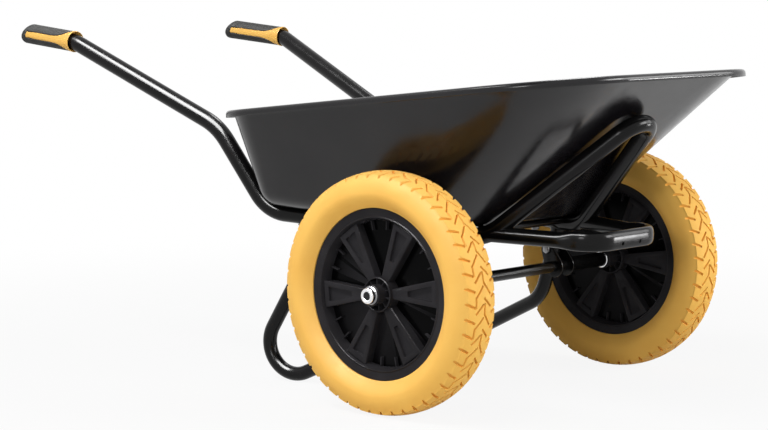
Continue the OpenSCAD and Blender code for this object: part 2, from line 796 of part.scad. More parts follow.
// Grips: drawn along +Z from the front of the grip to its closed end
module grip_place(right) {
    last = len(frame_points) - 1;
    outward = heading(frame_points, last - 1);
    start = frame_points[last] + outward * (grip_end_cap - grip_len);
    at_origin() mirrored(right)
        multmatrix(frame_matrix(cross([0, 0, 1], outward) / norm(cross([0, 0, 1], outward)),
            cross(outward, unit(cross([0, 0, 1], outward))), outward, start)) children();
}

// Half of the grip's outline, from the axis, with its closed end rounded
module grip_half(d) {
    intersection() {
        square([d / 2, grip_len]);
        union() {
            square([d / 2, grip_len - grip_round]);
            square([d / 2 - grip_round, grip_len]);
            translate([d / 2 - grip_round, grip_len - grip_round]) circle(grip_round);
        }
    }
}

module grip_core(right) {
    color(tyre_colour) grip_place(right) difference() {
        union() {
            cylinder(d = core_d, h = grip_len - grip_end_cap / 2);
            cylinder(d = collar_d, h = collar_len - collar_taper);
            translate([0, 0, collar_len - collar_taper])
                cylinder(d1 = collar_d, d2 = core_d, h = collar_taper);
        }
        translate([0, 0, -overrun])
            cylinder(d = tube_d + 2 * push_gap, h = grip_len - grip_end_cap + overrun + push_gap);
    }
}

// The strip's window on each side of the cover, which widens into the collar at the front
module strip_window() {
    flare = grip_len * strip_flare_share;
    strip_end = grip_len - grip_round - grip_end_cap;
    polygon([
        [-grip_d, collar_len], [-strip_w / 2, collar_len + flare / 2], [-strip_w / 2, strip_end],
        [strip_w / 2, strip_end], [strip_w / 2, collar_len + flare / 2], [grip_d, collar_len]
    ]);
}

module grip_cover(right) {
    color(black_colour) grip_place(right) difference() {
        rotate_extrude() grip_half(grip_d);
        translate([0, 0, -overrun]) cylinder(d = core_d + 2 * push_gap,
            h = grip_len - grip_end_cap / 2 + push_gap + overrun);
        translate([0, 0, -overrun]) cylinder(d = 2 * grip_d, h = collar_len + push_gap + overrun);
        for (s = [-1, 1]) rotate([90, 0, 90 * s]) translate([0, 0, core_d / 4])
            linear_extrude(grip_d) strip_window();
    }
}

// Tray fasteners
module tray_bolts() {
    top = floor_z + sheet_t;
    dome_r = (head_d * head_d / 4 + head_h * head_h) / (2 * head_h);
    shank = top - rail_h + tube_r + washer_t + nut_h + bolt_tail;
    color(bright_colour) at_origin() tray_bolt_places() translate([0, 0, top]) {
        rotate_extrude() intersection() {
            square([head_d / 2, head_h]);
            translate([0, head_h - dome_r]) circle(dome_r);
        }
        translate([0, 0, -shank]) cylinder(d = bolt_d, h = shank);
    }
}

module tray_washers() {
    color(bright_colour) at_origin() tray_bolt_places()
        translate([0, 0, rail_h - tube_r - washer_t]) linear_extrude(washer_t) ring(washer_d, bolt_hole_d);
}

module tray_nuts() {
    color(bright_colour) at_origin() tray_bolt_places()
        translate([0, 0, rail_h - tube_r - washer_t - nut_h]) nut();
}

tray();
frame_tube(true);  // right_frame_tube
frame_tube(false);  // left_frame_tube
tip_bar();
leg(true);  // right_leg
leg(false);  // left_leg
axle();
axle_plates(true);  // right_axle_plates
axle_plates(false);  // left_axle_plates
plate_bolts();
plate_nuts();
axle_spacer(true);  // right_axle_spacer
axle_spacer(false);  // left_axle_spacer
inner_washers();
outer_washers();
axle_caps();
wheel_centre(true);  // right_wheel_centre
wheel_centre(false);  // left_wheel_centre
hub_bushes(true);  // right_hub_bushes
hub_bushes(false);  // left_hub_bushes
tyre(true);  // right_tyre
tyre(false);  // left_tyre
grip_core(true);  // right_grip_core
grip_core(false);  // left_grip_core
grip_cover(true);  // right_grip_cover
grip_cover(false);  // left_grip_cover
tray_bolts();
tray_washers();
tray_nuts();
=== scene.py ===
"""Looks of the two wheel wheelbarrow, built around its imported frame.

Meshes are made in millimetres about the ground below the axle, +X to the nose, and then set into the frame.
"""
import json
import logging
import math
from dataclasses import dataclass, field
from enum import Enum
from typing import Callable, Iterable, Sequence

import bmesh
import bpy
from bmesh.types import BMEdge, BMesh, BMVert
from mathutils import Matrix, Vector


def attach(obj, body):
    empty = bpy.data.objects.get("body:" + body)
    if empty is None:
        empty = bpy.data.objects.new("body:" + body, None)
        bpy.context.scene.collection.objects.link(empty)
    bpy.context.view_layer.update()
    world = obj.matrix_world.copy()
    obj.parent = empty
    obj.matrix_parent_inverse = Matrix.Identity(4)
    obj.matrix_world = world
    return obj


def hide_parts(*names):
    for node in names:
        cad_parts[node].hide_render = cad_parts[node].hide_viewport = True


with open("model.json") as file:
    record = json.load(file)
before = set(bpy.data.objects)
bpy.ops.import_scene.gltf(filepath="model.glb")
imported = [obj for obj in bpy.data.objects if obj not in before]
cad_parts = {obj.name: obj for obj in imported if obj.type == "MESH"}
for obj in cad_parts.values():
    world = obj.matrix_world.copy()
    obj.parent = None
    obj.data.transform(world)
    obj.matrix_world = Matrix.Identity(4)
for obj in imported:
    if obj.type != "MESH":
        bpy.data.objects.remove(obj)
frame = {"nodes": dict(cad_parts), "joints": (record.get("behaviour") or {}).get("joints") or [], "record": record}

LOG = logging.getLogger("wheelbarrow")
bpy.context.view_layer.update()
MM = 0.001
MERGE = 1e-3
AXLE_X = frame["joints"][0]["pos_m"][0]
TO_FRAME = Matrix.Translation((AXLE_X, 0.0, 0.0)) @ Matrix.Scale(MM, 4)
ALONG_Y = Matrix.Rotation(-math.pi / 2, 4, "X")
UP = Vector((0.0, 0.0, 1.0))
# Name of the mesh mark where shade, and on the caps a dark reflection, is painted into the colour
PAINTED_DARK = "deep"
RANGE_KEYS = ("From Min", "From Max", "To Min", "To Max")
# Numbers of the colour sockets of a Mix node: two that go in, and the one that comes out
MIX_FIRST = 6
MIX_SECOND = 7
MIX_COLOUR = 2
Pair = tuple[float, float]
Triple = tuple[float, float, float]
Socket = bpy.types.NodeSocket
Tone = Socket | Sequence[float]


class Body(str, Enum):
    """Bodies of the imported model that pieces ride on."""

    FRAME = "frame"
    RIGHT_WHEEL = "right_wheel"
    LEFT_WHEEL = "left_wheel"


class Side(Enum):
    """The two sides of the barrow, with the sign of Y on each."""

    RIGHT = -1
    LEFT = 1

    @property
    def word(self) -> str:
        """Word that starts the names of this side's nodes."""
        return self.name.lower()

    @property
    def body(self) -> Body:
        """Body of this side's wheel."""
        return Body.RIGHT_WHEEL if self is Side.RIGHT else Body.LEFT_WHEEL

    @property
    def mirror(self) -> Matrix:
        """Matrix that takes a shape drawn on the left to this side."""
        return Matrix.Diagonal((1.0, float(self.value), 1.0, 1.0))


# Materials


@dataclass(frozen=True)
class Cloud:
    """A noise on Object coordinates: its scale per metre, octaves, range that counts, and stretch."""

    scale: float
    detail: float
    reach: Pair = (0.0, 1.0)
    stretch: Triple = (1.0, 1.0, 1.0)


class Nodes:
    """A material's node tree, with short calls for the nodes that the finishes share."""

    def __init__(self, name: str) -> None:
        """Starts a material that holds one Principled shader.

        Args:
            name: Name of the material.
        """
        self.material = bpy.data.materials.new(name)
        self.material.use_nodes = True
        self.tree = self.material.node_tree
        self.shader = self.tree.nodes["Principled BSDF"]
        self.place = self.tree.nodes.new("ShaderNodeTexCoord").outputs["Object"]

    def link(self, out: Socket, into: Socket) -> None:
        """Joins an output to an input."""
        self.tree.links.new(out, into)

    def feed(self, key: str, out: Socket) -> None:
        """Joins an output to one of the shader's sockets."""
        self.link(out, self.shader.inputs[key])

    def set(self, **values: object) -> None:
        """Sets the shader's sockets, named with underscores for spaces."""
        for key, value in values.items():
            self.shader.inputs[key.replace("_", " ")].default_value = value

    def noise(self, cloud: Cloud) -> Socket:
        """Adds a noise texture.

        Args:
            cloud: The noise to add.

        Returns:
            Its value.
        """
        mapping = self.tree.nodes.new("ShaderNodeMapping")
        mapping.inputs["Scale"].default_value = cloud.stretch
        self.link(self.place, mapping.inputs["Vector"])
        node = self.tree.nodes.new("ShaderNodeTexNoise")
        node.inputs["Scale"].default_value = cloud.scale
        node.inputs["Detail"].default_value = cloud.detail
        self.link(mapping.outputs["Vector"], node.inputs["Vector"])
        return node.outputs["Fac"]

    def voronoi(self, scale: float) -> Socket:
        """Adds cells on Object coordinates and returns the distance to their middles."""
        node = self.tree.nodes.new("ShaderNodeTexVoronoi")
        node.inputs["Scale"].default_value = scale
        self.link(self.place, node.inputs["Vector"])
        return node.outputs["Distance"]

    def mark(self) -> Socket:
        """Adds the mesh's mark of painted shade, and of a painted dark reflection on the caps, and returns its
        value.
        """
        node = self.tree.nodes.new("ShaderNodeAttribute")
        node.attribute_name = PAINTED_DARK
        return node.outputs["Fac"]

    def spread(self, cloud: Cloud, ends: Pair = (0.0, 1.0)) -> Socket:
        """Adds a noise and maps the range of it that counts, clamped.

        Args:
            cloud: The noise to add.
            ends: Ends of the range that comes out.

        Returns:
            The mapped value.
        """
        node = self.tree.nodes.new("ShaderNodeMapRange")
        for key, number in zip(RANGE_KEYS, (*cloud.reach, *ends)):
            node.inputs[key].default_value = number
        self.link(self.noise(cloud), node.inputs["Value"])
        return node.outputs["Result"]

    def blend(self, fac: Socket, one: Tone, two: Sequence[float]) -> Socket:
        """Mixes two colours.

        Args:
            fac: Share of the second colour.
            one: First colour, linear, or a socket that gives it.
            two: Second colour, linear.

        Returns:
            The mixed colour.
        """
        node = self.tree.nodes.new("ShaderNodeMix")
        node.data_type = "RGBA"
        self.link(fac, node.inputs[0])
        if isinstance(one, Socket):
            self.link(one, node.inputs[MIX_FIRST])
        else:
            node.inputs[MIX_FIRST].default_value = (*one, 1.0)
        node.inputs[MIX_SECOND].default_value = (*two, 1.0)
        return node.outputs[MIX_COLOUR]

    def bump(self, heights: Iterable[tuple[Socket, float, float]]) -> None:
        """Adds bumps to the shader, one over the other.

        Args:
            heights: For each bump its value, its strength and its depth in metres.
        """
        under = None
        for value, strength, depth in heights:
            node = self.tree.nodes.new("ShaderNodeBump")
            node.inputs["Strength"].default_value = strength
            node.inputs["Distance"].default_value = depth
            self.link(value, node.inputs["Height"])
            if under is not None:
                self.link(under, node.inputs["Normal"])
            under = node.outputs["Normal"]
        if under is not None:
            self.feed("Normal", under)


@dataclass(frozen=True)
class Paint:
    """Gloss paint on steel: slow waves, a faint orange peel, dust and a gloss that varies."""

    name: str
    deep: Triple
    dusty: Triple
    gloss: Pair
    level: float
    wave: float
    wave_depth: float = 0.004
    peel: float = 0.01
    peel_depth: float = 0.0002
    dust: Cloud = Cloud(9.0, 6.0, (0.45, 0.72))
    smear: Cloud = Cloud(24.0, 2.0, (0.3, 0.75), (1.0, 2.2, 3.0))
    waves: Cloud = Cloud(7.0, 2.0)
    dimples: Cloud = Cloud(150.0, 2.0)

    def material(self) -> bpy.types.Material:
        """Makes the material."""
        n = Nodes(self.name)
        n.feed("Base Color", n.blend(n.spread(self.dust), self.deep, self.dusty))
        n.feed("Roughness", n.spread(self.smear, self.gloss))
        n.set(Specular_IOR_Level=self.level)
        n.bump([(n.noise(self.waves), self.wave, self.wave_depth),
                (n.noise(self.dimples), self.peel, self.peel_depth)])
        return n.material


@dataclass(frozen=True)
class Foam:
    """Solid yellow foam of the tyres: a fine closed skin, a warmer tone in places and faint scuffs.

    Each relief is a bump's strength and its depth in metres.
    """

    name: str
    light: Triple
    warm: Triple
    # Colour of the shade painted in the grooves, and lightly over the tread
    deep: Triple
    gloss: Pair = (0.5, 0.66)
    level: float = 0.08
    warmth: Cloud = Cloud(14.0, 5.0, (0.35, 0.7))
    sheen: Cloud = Cloud(60.0, 4.0, (0.3, 0.7))
    skin: Cloud = Cloud(900.0, 3.0)
    skin_relief: Pair = (0.1, 0.0004)
    scuffs: Cloud = Cloud(70.0, 3.0)
    scuff_relief: Pair = (0.12, 0.0012)

    def material(self) -> bpy.types.Material:
        """Makes the material, with painted shade in the grooves and a little over the tread, where the mesh marks
        it.
        """
        n = Nodes(self.name)
        tone = n.blend(n.spread(self.warmth), self.light, self.warm)
        # Painted shade: darker in the grooves and a little over the tread
        n.feed("Base Color", n.blend(n.mark(), tone, self.deep))
        n.feed("Roughness", n.spread(self.sheen, self.gloss))
        n.set(Specular_IOR_Level=self.level)
        n.bump([(n.noise(self.skin), *self.skin_relief), (n.noise(self.scuffs), *self.scuff_relief)])
        return n.material


@dataclass(frozen=True)
class Moulding:
    """Moulded plastic or rubber: spark-eroded grain and a satin sheen that varies a little."""

    name: str
    dark: Triple
    pale: Triple
    gloss: Pair
    level: float
    grain: float
    grain_scale: float = 1400.0
    grain_depth: float = 0.0003
    # Colour of painted shade where the mesh marks it, such as the wheel's recessed panels
    deep: Triple | None = None
    clouding: Cloud = Cloud(22.0, 5.0, (0.38, 0.72))
    sheen: Cloud = Cloud(48.0, 4.0, (0.3, 0.72))
    dents: Cloud = Cloud(120.0, 3.0)
    dent_share: float = 0.4
    dent_depth: float = 0.0006

    def material(self) -> bpy.types.Material:
        """Makes the material, with painted shade, a darker tone, where the mesh marks it."""
        n = Nodes(self.name)
        colour = n.blend(n.spread(self.clouding), self.dark, self.pale)
        # Painted shade in the marked places
        if self.deep is not None:
            colour = n.blend(n.mark(), colour, self.deep)
        n.feed("Base Color", colour)
        n.feed("Roughness", n.spread(self.sheen, self.gloss))
        n.set(Specular_IOR_Level=self.level)
        n.bump([(n.voronoi(self.grain_scale), self.grain, self.grain_depth),
                (n.noise(self.dents), self.grain * self.dent_share, self.dent_depth)])
        return n.material


@dataclass(frozen=True)
class Plating:
    """Plated metal with turning marks and a few dull spots."""

    name: str
    tone: Triple
    dull: Triple
    gloss: Pair
    # Colour of the dark reflection painted in the middle of the caps
    deep: Triple = (0.03, 0.03, 0.032)
    spots: Cloud = Cloud(160.0, 5.0, (0.5, 0.75))
    sheen: Cloud = Cloud(420.0, 4.0, (0.3, 0.7))
    turning: Cloud = Cloud(1500.0, 2.0)
    turning_relief: Pair = (0.05, 0.0002)

    def material(self) -> bpy.types.Material:
        """Makes the material, with a painted dark reflection where the mesh marks it."""
        n = Nodes(self.name)
        plate = n.blend(n.spread(self.spots), self.tone, self.dull)
        # Painted dark reflection in the marked places
        n.feed("Base Color", n.blend(n.mark(), plate, self.deep))
        n.feed("Roughness", n.spread(self.sheen, self.gloss))
        n.set(Metallic=1.0)
        n.bump([(n.noise(self.turning), *self.turning_relief)])
        return n.material


FINISHES = {finish.name: finish for finish in (
    Paint("tray_black", deep=(0.005, 0.0045, 0.0055), dusty=(0.009, 0.008, 0.009),
          gloss=(0.15, 0.25), level=0.36, wave=0.2),
    Paint("frame_black", deep=(0.003, 0.003, 0.003), dusty=(0.006, 0.005, 0.006),
          gloss=(0.16, 0.24), level=0.17, wave=0.05),
    # The tyre's deep colour is painted shade in its grooves and over its tread
    Foam("tyre_yellow", light=(0.93, 0.54, 0.118), warm=(0.89, 0.49, 0.10), deep=(0.83, 0.46, 0.095)),
    # The wheel's deep colour is painted shade on the recessed panels between the spokes
    Moulding("wheel_black", dark=(0.021, 0.020, 0.022), pale=(0.028, 0.027, 0.030),
             gloss=(0.16, 0.24), level=0.035, grain=0.05, deep=(0.0012, 0.0012, 0.0014)),
    Moulding("bush_grey", dark=(0.045, 0.045, 0.047), pale=(0.06, 0.06, 0.06),
             gloss=(0.4, 0.55), level=0.4, grain=0.10),
    Moulding("grip_yellow", dark=(0.93, 0.54, 0.125), pale=(0.89, 0.50, 0.11),
             gloss=(0.38, 0.5), level=0.12, grain=0.03),
    Moulding("grip_black", dark=(0.030, 0.030, 0.029), pale=(0.040, 0.040, 0.038),
             gloss=(0.5, 0.66), level=0.1, grain=0.2, grain_scale=900.0),
    Plating("bright", tone=(0.82, 0.82, 0.83), dull=(0.62, 0.62, 0.63), gloss=(0.06, 0.16)),
    Plating("zinc", tone=(0.30, 0.30, 0.31), dull=(0.18, 0.18, 0.18), gloss=(0.28, 0.42)),
)}


# Shapes


def turned(profile: Sequence[Pair], steps: int = 96, closed: bool = True) -> BMesh:
    """Turns a profile about Z.

    Args:
        profile: Points as radius and height.
        steps: Steps of the full turn.
        closed: Whether the last point joins the first.

    Returns:
        The turned shape.
    """
    bm = bmesh.new()
    verts = [bm.verts.new((r, 0.0, z)) for r, z in profile]
    edges = [bm.edges.new(pair) for pair in zip(verts, verts[1:])]
    if closed:
        edges.append(bm.edges.new((verts[-1], verts[0])))
    bmesh.ops.spin(bm, geom=verts + edges, cent=(0, 0, 0), axis=(0, 0, 1), dvec=(0, 0, 0),
                   angle=math.tau, steps=steps, use_merge=True, use_duplicate=False)
    return tidied(bm)


def tidied(bm: BMesh) -> BMesh:
    """Merges doubles and turns the faces outwards."""
    bmesh.ops.remove_doubles(bm, verts=bm.verts, dist=MERGE)
    bmesh.ops.dissolve_degenerate(bm, edges=bm.edges, dist=MERGE)
    bmesh.ops.recalc_face_normals(bm, faces=bm.faces)
    return bm


def rounded(bm: BMesh, width: float, segments: int = 2, least: float = 0.5) -> BMesh:
    """Rounds the edges that turn by more than an angle.

    Args:
        bm: Shape to round.
        width: Width of the rounding.
        segments: Segments of the rounding.
        least: Least angle between two faces, in radians.

    Returns:
        The same shape.
    """
    sharp = [e for e in bm.edges if len(e.link_faces) == 2 and e.calc_face_angle(0.0) > least]
    return bevelled(bm, sharp, width, segments)


def bevelled(bm: BMesh, edges: list[BMEdge], width: float, segments: int) -> BMesh:
    """Rounds some edges.

    Args:
        bm: Shape to round.
        edges: Its edges that get round.
        width: Width of the rounding.
        segments: Segments of the rounding.

    Returns:
        The same shape.
    """
    bmesh.ops.bevel(bm, geom=edges, offset=width, offset_type="OFFSET", segments=segments, profile=0.5,
                    affect="EDGES", clamp_overlap=True, material=-1)
    return bm


def block(size: Sequence[float], middle: Sequence[float] = (0.0, 0.0, 0.0)) -> BMesh:
    """Makes a block.

    Args:
        size: Its three sizes.
        middle: Its middle.

    Returns:
        The block.
    """
    bm = bmesh.new()
    bmesh.ops.create_cube(bm, size=1.0, matrix=Matrix.Translation(middle) @ Matrix.Diagonal((*size, 1.0)))
    return bm


def slab(outline: Sequence[Pair], low: float, high: float) -> BMesh:
    """Extrudes a flat outline along Z.

    Args:
        outline: Points of the outline.
        low: Lower level.
        high: Upper level.

    Returns:
        The slab.
    """
    bm = bmesh.new()
    face = bm.faces.new([bm.verts.new((x, y, low)) for x, y in outline])
    grown = bmesh.ops.extrude_face_region(bm, geom=[face])["geom"]
    bmesh.ops.translate(bm, verts=[v for v in grown if isinstance(v, BMVert)], vec=(0, 0, high - low))
    return tidied(bm)


def bar(inner: float, outer: float, ends: Pair, edge: float = 0.0, steps: int = 64) -> BMesh:
    """Turns a bar, a sleeve or a washer about Z.

    Args:
        inner: Radius of its bore, or zero for none.
        outer: Its outer radius.
        ends: Where it starts and ends along Z.
        edge: Width of its broken outer edges.
        steps: Steps of the full turn.

    Returns:
        The turned shape.
    """
    low, high = ends
    section = [(inner, low), (outer - edge, low), (outer, low + edge), (outer, high - edge),
               (outer - edge, high), (inner, high)]
    return turned(list(dict.fromkeys(section)), steps, closed=inner > 0.0)


def pin(radius: float, length: float, segments: int, place: Matrix = Matrix.Identity(4)) -> BMesh:
    """Makes a pin along Z, or a prism where it has few segments.

    Args:
        radius: Its radius, over the corners.
        length: Its length.
        segments: Its sides.
        place: Where its middle goes.

    Returns:
        The pin.
    """
    bm = bmesh.new()
    bmesh.ops.create_cone(bm, cap_ends=True, segments=segments, radius1=radius, radius2=radius,
                          depth=length, matrix=place)
    return bm


def spun(shape: BMesh, angle: float) -> BMesh:
    """Turns a shape about Z and returns it."""
    bmesh.ops.rotate(shape, verts=shape.verts, cent=(0, 0, 0), matrix=Matrix.Rotation(angle, 3, "Z"))
    return shape


def flipped(points: Sequence[Pair]) -> list[Pair]:
    """Lists the points of a section backwards, with their heights turned round."""
    return [(r, -z) for r, z in reversed(points)]


def eased(share: float) -> float:
    """Holds a share between 0 and 1 and eases its ends."""
    held = max(0.0, min(1.0, share))
    return held * held * (3.0 - 2.0 * held)


def arc(centre: Pair, radius: float, start: float, end: float, steps: int) -> list[Pair]:
    """Lists points of an arc.

    Args:
        centre: Middle of the arc.
        radius: Its radius.
        start: First angle, in degrees.
        end: Last angle, in degrees.
        steps: Steps between them.

    Returns:
        The points.
    """
    angles = [math.radians(start + (end - start) * i / steps) for i in range(steps + 1)]
    return [(centre[0] + radius * math.cos(a), centre[1] + radius * math.sin(a)) for a in angles]


@dataclass
class Ring:
    """One ring of a swept tube: its vertices, its middle and the way that the tube runs there."""

    verts: list[BMVert]
    middle: Vector
    heading: Vector


@dataclass
class Sweep:
    """A round tube along points, with a radius at each corner."""

    points: list[Vector]
    radii: list[float]
    diameter: float
    segments: int = 40
    bend_step: float = 4.0
    run_step: float = 1e9
    bm: BMesh = field(default_factory=bmesh.new)
    rings: list[Ring] = field(default_factory=list)

    def heading(self, i: int) -> Vector:
        """Direction from one point to the next."""
        return (self.points[i + 1] - self.points[i]).normalized()

    def setback(self, i: int) -> float:
        """Distance from a corner to where its bend starts."""
        if i in (0, len(self.points) - 1):
            return 0.0
        return self.radii[i] * math.tan(self.heading(i - 1).angle(self.heading(i)) / 2)

    def grow(self, edges: list[BMEdge], step: Vector, heading: Vector) -> list[BMEdge]:
        """Extrudes the last ring along a straight run.

        Args:
            edges: Edges of the last ring.
            step: How far it goes.
            heading: Way that the tube runs.

        Returns:
            Edges of the new ring.
        """
        geom = bmesh.ops.extrude_edge_only(self.bm, edges=edges)["geom"]
        verts = [v for v in geom if isinstance(v, BMVert)]
        bmesh.ops.translate(self.bm, verts=verts, vec=step)
        self.rings.append(Ring(verts, self.rings[-1].middle + step, heading))
        return [e for e in geom if isinstance(e, BMEdge)]

    def turn(self, edges: list[BMEdge], corner: int) -> list[BMEdge]:
        """Spins the last ring round a bend.

        Args:
            edges: Edges of the last ring.
            corner: Number of the corner.

        Returns:
            Edges of the new ring.
        """
        before = self.heading(corner - 1)
        after = self.heading(corner)
        axis = before.cross(after).normalized()
        total = before.angle(after)
        steps = max(2, round(math.degrees(total) / self.bend_step))
        centre = self.rings[-1].middle + axis.cross(before) * self.radii[corner]
        share = total / steps
        part = Matrix.Rotation(share, 3, axis)
        for _ in range(steps):
            made = bmesh.ops.spin(self.bm, geom=edges, cent=centre, axis=axis, dvec=(0, 0, 0),
                                  angle=share, steps=1, use_merge=False, use_duplicate=False)
            last = made["geom_last"]
            edges = [e for e in last if isinstance(e, BMEdge)]
            verts = [v for v in last if isinstance(v, BMVert)]
            ring = self.rings[-1]
            self.rings.append(Ring(verts, centre + part @ (ring.middle - centre), part @ ring.heading))
        return edges

    def build(self) -> BMesh:
        """Makes the tube, closed at both ends, and returns it."""
        heading = self.heading(0)
        place = Matrix.Translation(self.points[0]) @ heading.to_track_quat("Z", "Y").to_matrix().to_4x4()
        made = bmesh.ops.create_circle(self.bm, cap_ends=False, radius=self.diameter / 2,
                                       segments=self.segments, matrix=place)
        self.rings.append(Ring(list(made["verts"]), self.points[0].copy(), heading))
        edges = list(self.bm.edges)
        first = edges
        last_point = len(self.points) - 1
        for i in range(last_point):
            heading = self.heading(i)
            target = self.points[i + 1] - heading * self.setback(i + 1)
            run = target - self.rings[-1].middle
            parts = max(1, round(run.length / self.run_step))
            for _ in range(parts if run.length > MERGE else 0):
                edges = self.grow(edges, run / parts, heading)
            if i + 1 < last_point:
                edges = self.turn(edges, i + 1)
        bmesh.ops.edgeloop_fill(self.bm, edges=first)
        bmesh.ops.edgeloop_fill(self.bm, edges=edges)
        bmesh.ops.recalc_face_normals(self.bm, faces=self.bm.faces)
        return self.bm


@dataclass
class Piece:
    """A piece in the making: shapes gathered in one mesh, then set into the frame and dressed."""

    name: str
    body: Body
    slot: str
    replaced: tuple[str, ...] = ()
    smooth_deg: float = 35.0
    bm: BMesh = field(default_factory=bmesh.new)

    def add(self, shape: BMesh, place: Matrix = Matrix.Identity(4)) -> "Piece":
        """Adds a shape to the piece.

        Args:
            shape: Shape to add; it is used up.
            place: Where it goes.

        Returns:
            The piece.
        """
        bmesh.ops.transform(shape, matrix=place, verts=shape.verts)
        if place.determinant() < 0:
            bmesh.ops.reverse_faces(shape, faces=shape.faces)
        mesh = bpy.data.meshes.new("shape")
        shape.to_mesh(mesh)
        shape.free()
        self.bm.from_mesh(mesh)
        bpy.data.meshes.remove(mesh)
        return self

    def cut(self, tool: BMesh, own: bool = False) -> "Piece":
        """Cuts a shape out of the piece.

        Args:
            tool: Shape to cut out; it is used up.
            own: Whether parts of the tool cross each other.

        Returns:
            The piece.
        """
        base = loose_object(self.bm, "base")
        knife = loose_object(tool, "knife")
        modifier = base.modifiers.new("cut", "BOOLEAN")
        modifier.operation = "DIFFERENCE"
        modifier.solver = "EXACT"
        modifier.use_self = own
        modifier.object = knife
        done = base.evaluated_get(bpy.context.evaluated_depsgraph_get()).to_mesh()
        self.bm = bmesh.new()
        self.bm.from_mesh(done)
        for obj in (base, knife):
            mesh = obj.data
            bpy.data.objects.remove(obj)
            bpy.data.meshes.remove(mesh)
        return self

    def finish(self) -> bpy.types.Object:
        """Sets the piece into the frame, rides and dresses it.

        Returns:
            The finished object.
        """
        bmesh.ops.transform(self.bm, matrix=TO_FRAME, verts=self.bm.verts)
        obj = loose_object(self.bm, self.name)
        mesh = obj.data
        mesh.shade_smooth()
        mesh.set_sharp_from_angle(angle=math.radians(self.smooth_deg))
        mesh.materials.append(Wardrobe.material(self.slot))
        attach(obj, self.body.value)
        if self.replaced:
            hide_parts(*self.replaced)
        LOG.info("%s: %d faces", self.name, len(mesh.polygons))
        return obj


def loose_object(bm: BMesh, name: str) -> bpy.types.Object:
    """Makes an object from a shape, which is used up.

    Args:
        bm: The shape.
        name: Name of the object and its mesh.

    Returns:
        The linked object.
    """
    mesh = bpy.data.meshes.new(name)
    bm.to_mesh(mesh)
    bm.free()
    obj = bpy.data.objects.new(name, mesh)
    bpy.context.scene.collection.objects.link(obj)
    bpy.context.view_layer.update()
    return obj


def mark_painted_dark(obj: bpy.types.Object, place: Matrix, rule: Callable[[float, float], float]) -> None:
    """Writes the mark of painted shade on a round piece; on the caps it marks a painted dark reflection.

    Args:
        obj: The finished piece.
        place: Where it was set.
        rule: Gives the mark of a point from its radius and its height along the axis.
    """
    back = (TO_FRAME @ place).inverted()
    marks = obj.data.attributes.new(PAINTED_DARK, "FLOAT", "POINT")
    for v, mark in zip(obj.data.vertices, marks.data):
        spot = back @ v.co
        mark.value = rule(math.hypot(spot.x, spot.y), spot.z)


class Wardrobe:
    """Materials made so far, one for each slot of the record."""

    made: dict[str, bpy.types.Material] = {}

    @classmethod
    def material(cls, slot: str) -> bpy.types.Material:
        """Returns the slot's material, made on first use."""
        if slot not in cls.made:
            cls.made[slot] = FINISHES[slot].material()
        return cls.made[slot]


# Sub-assemblies


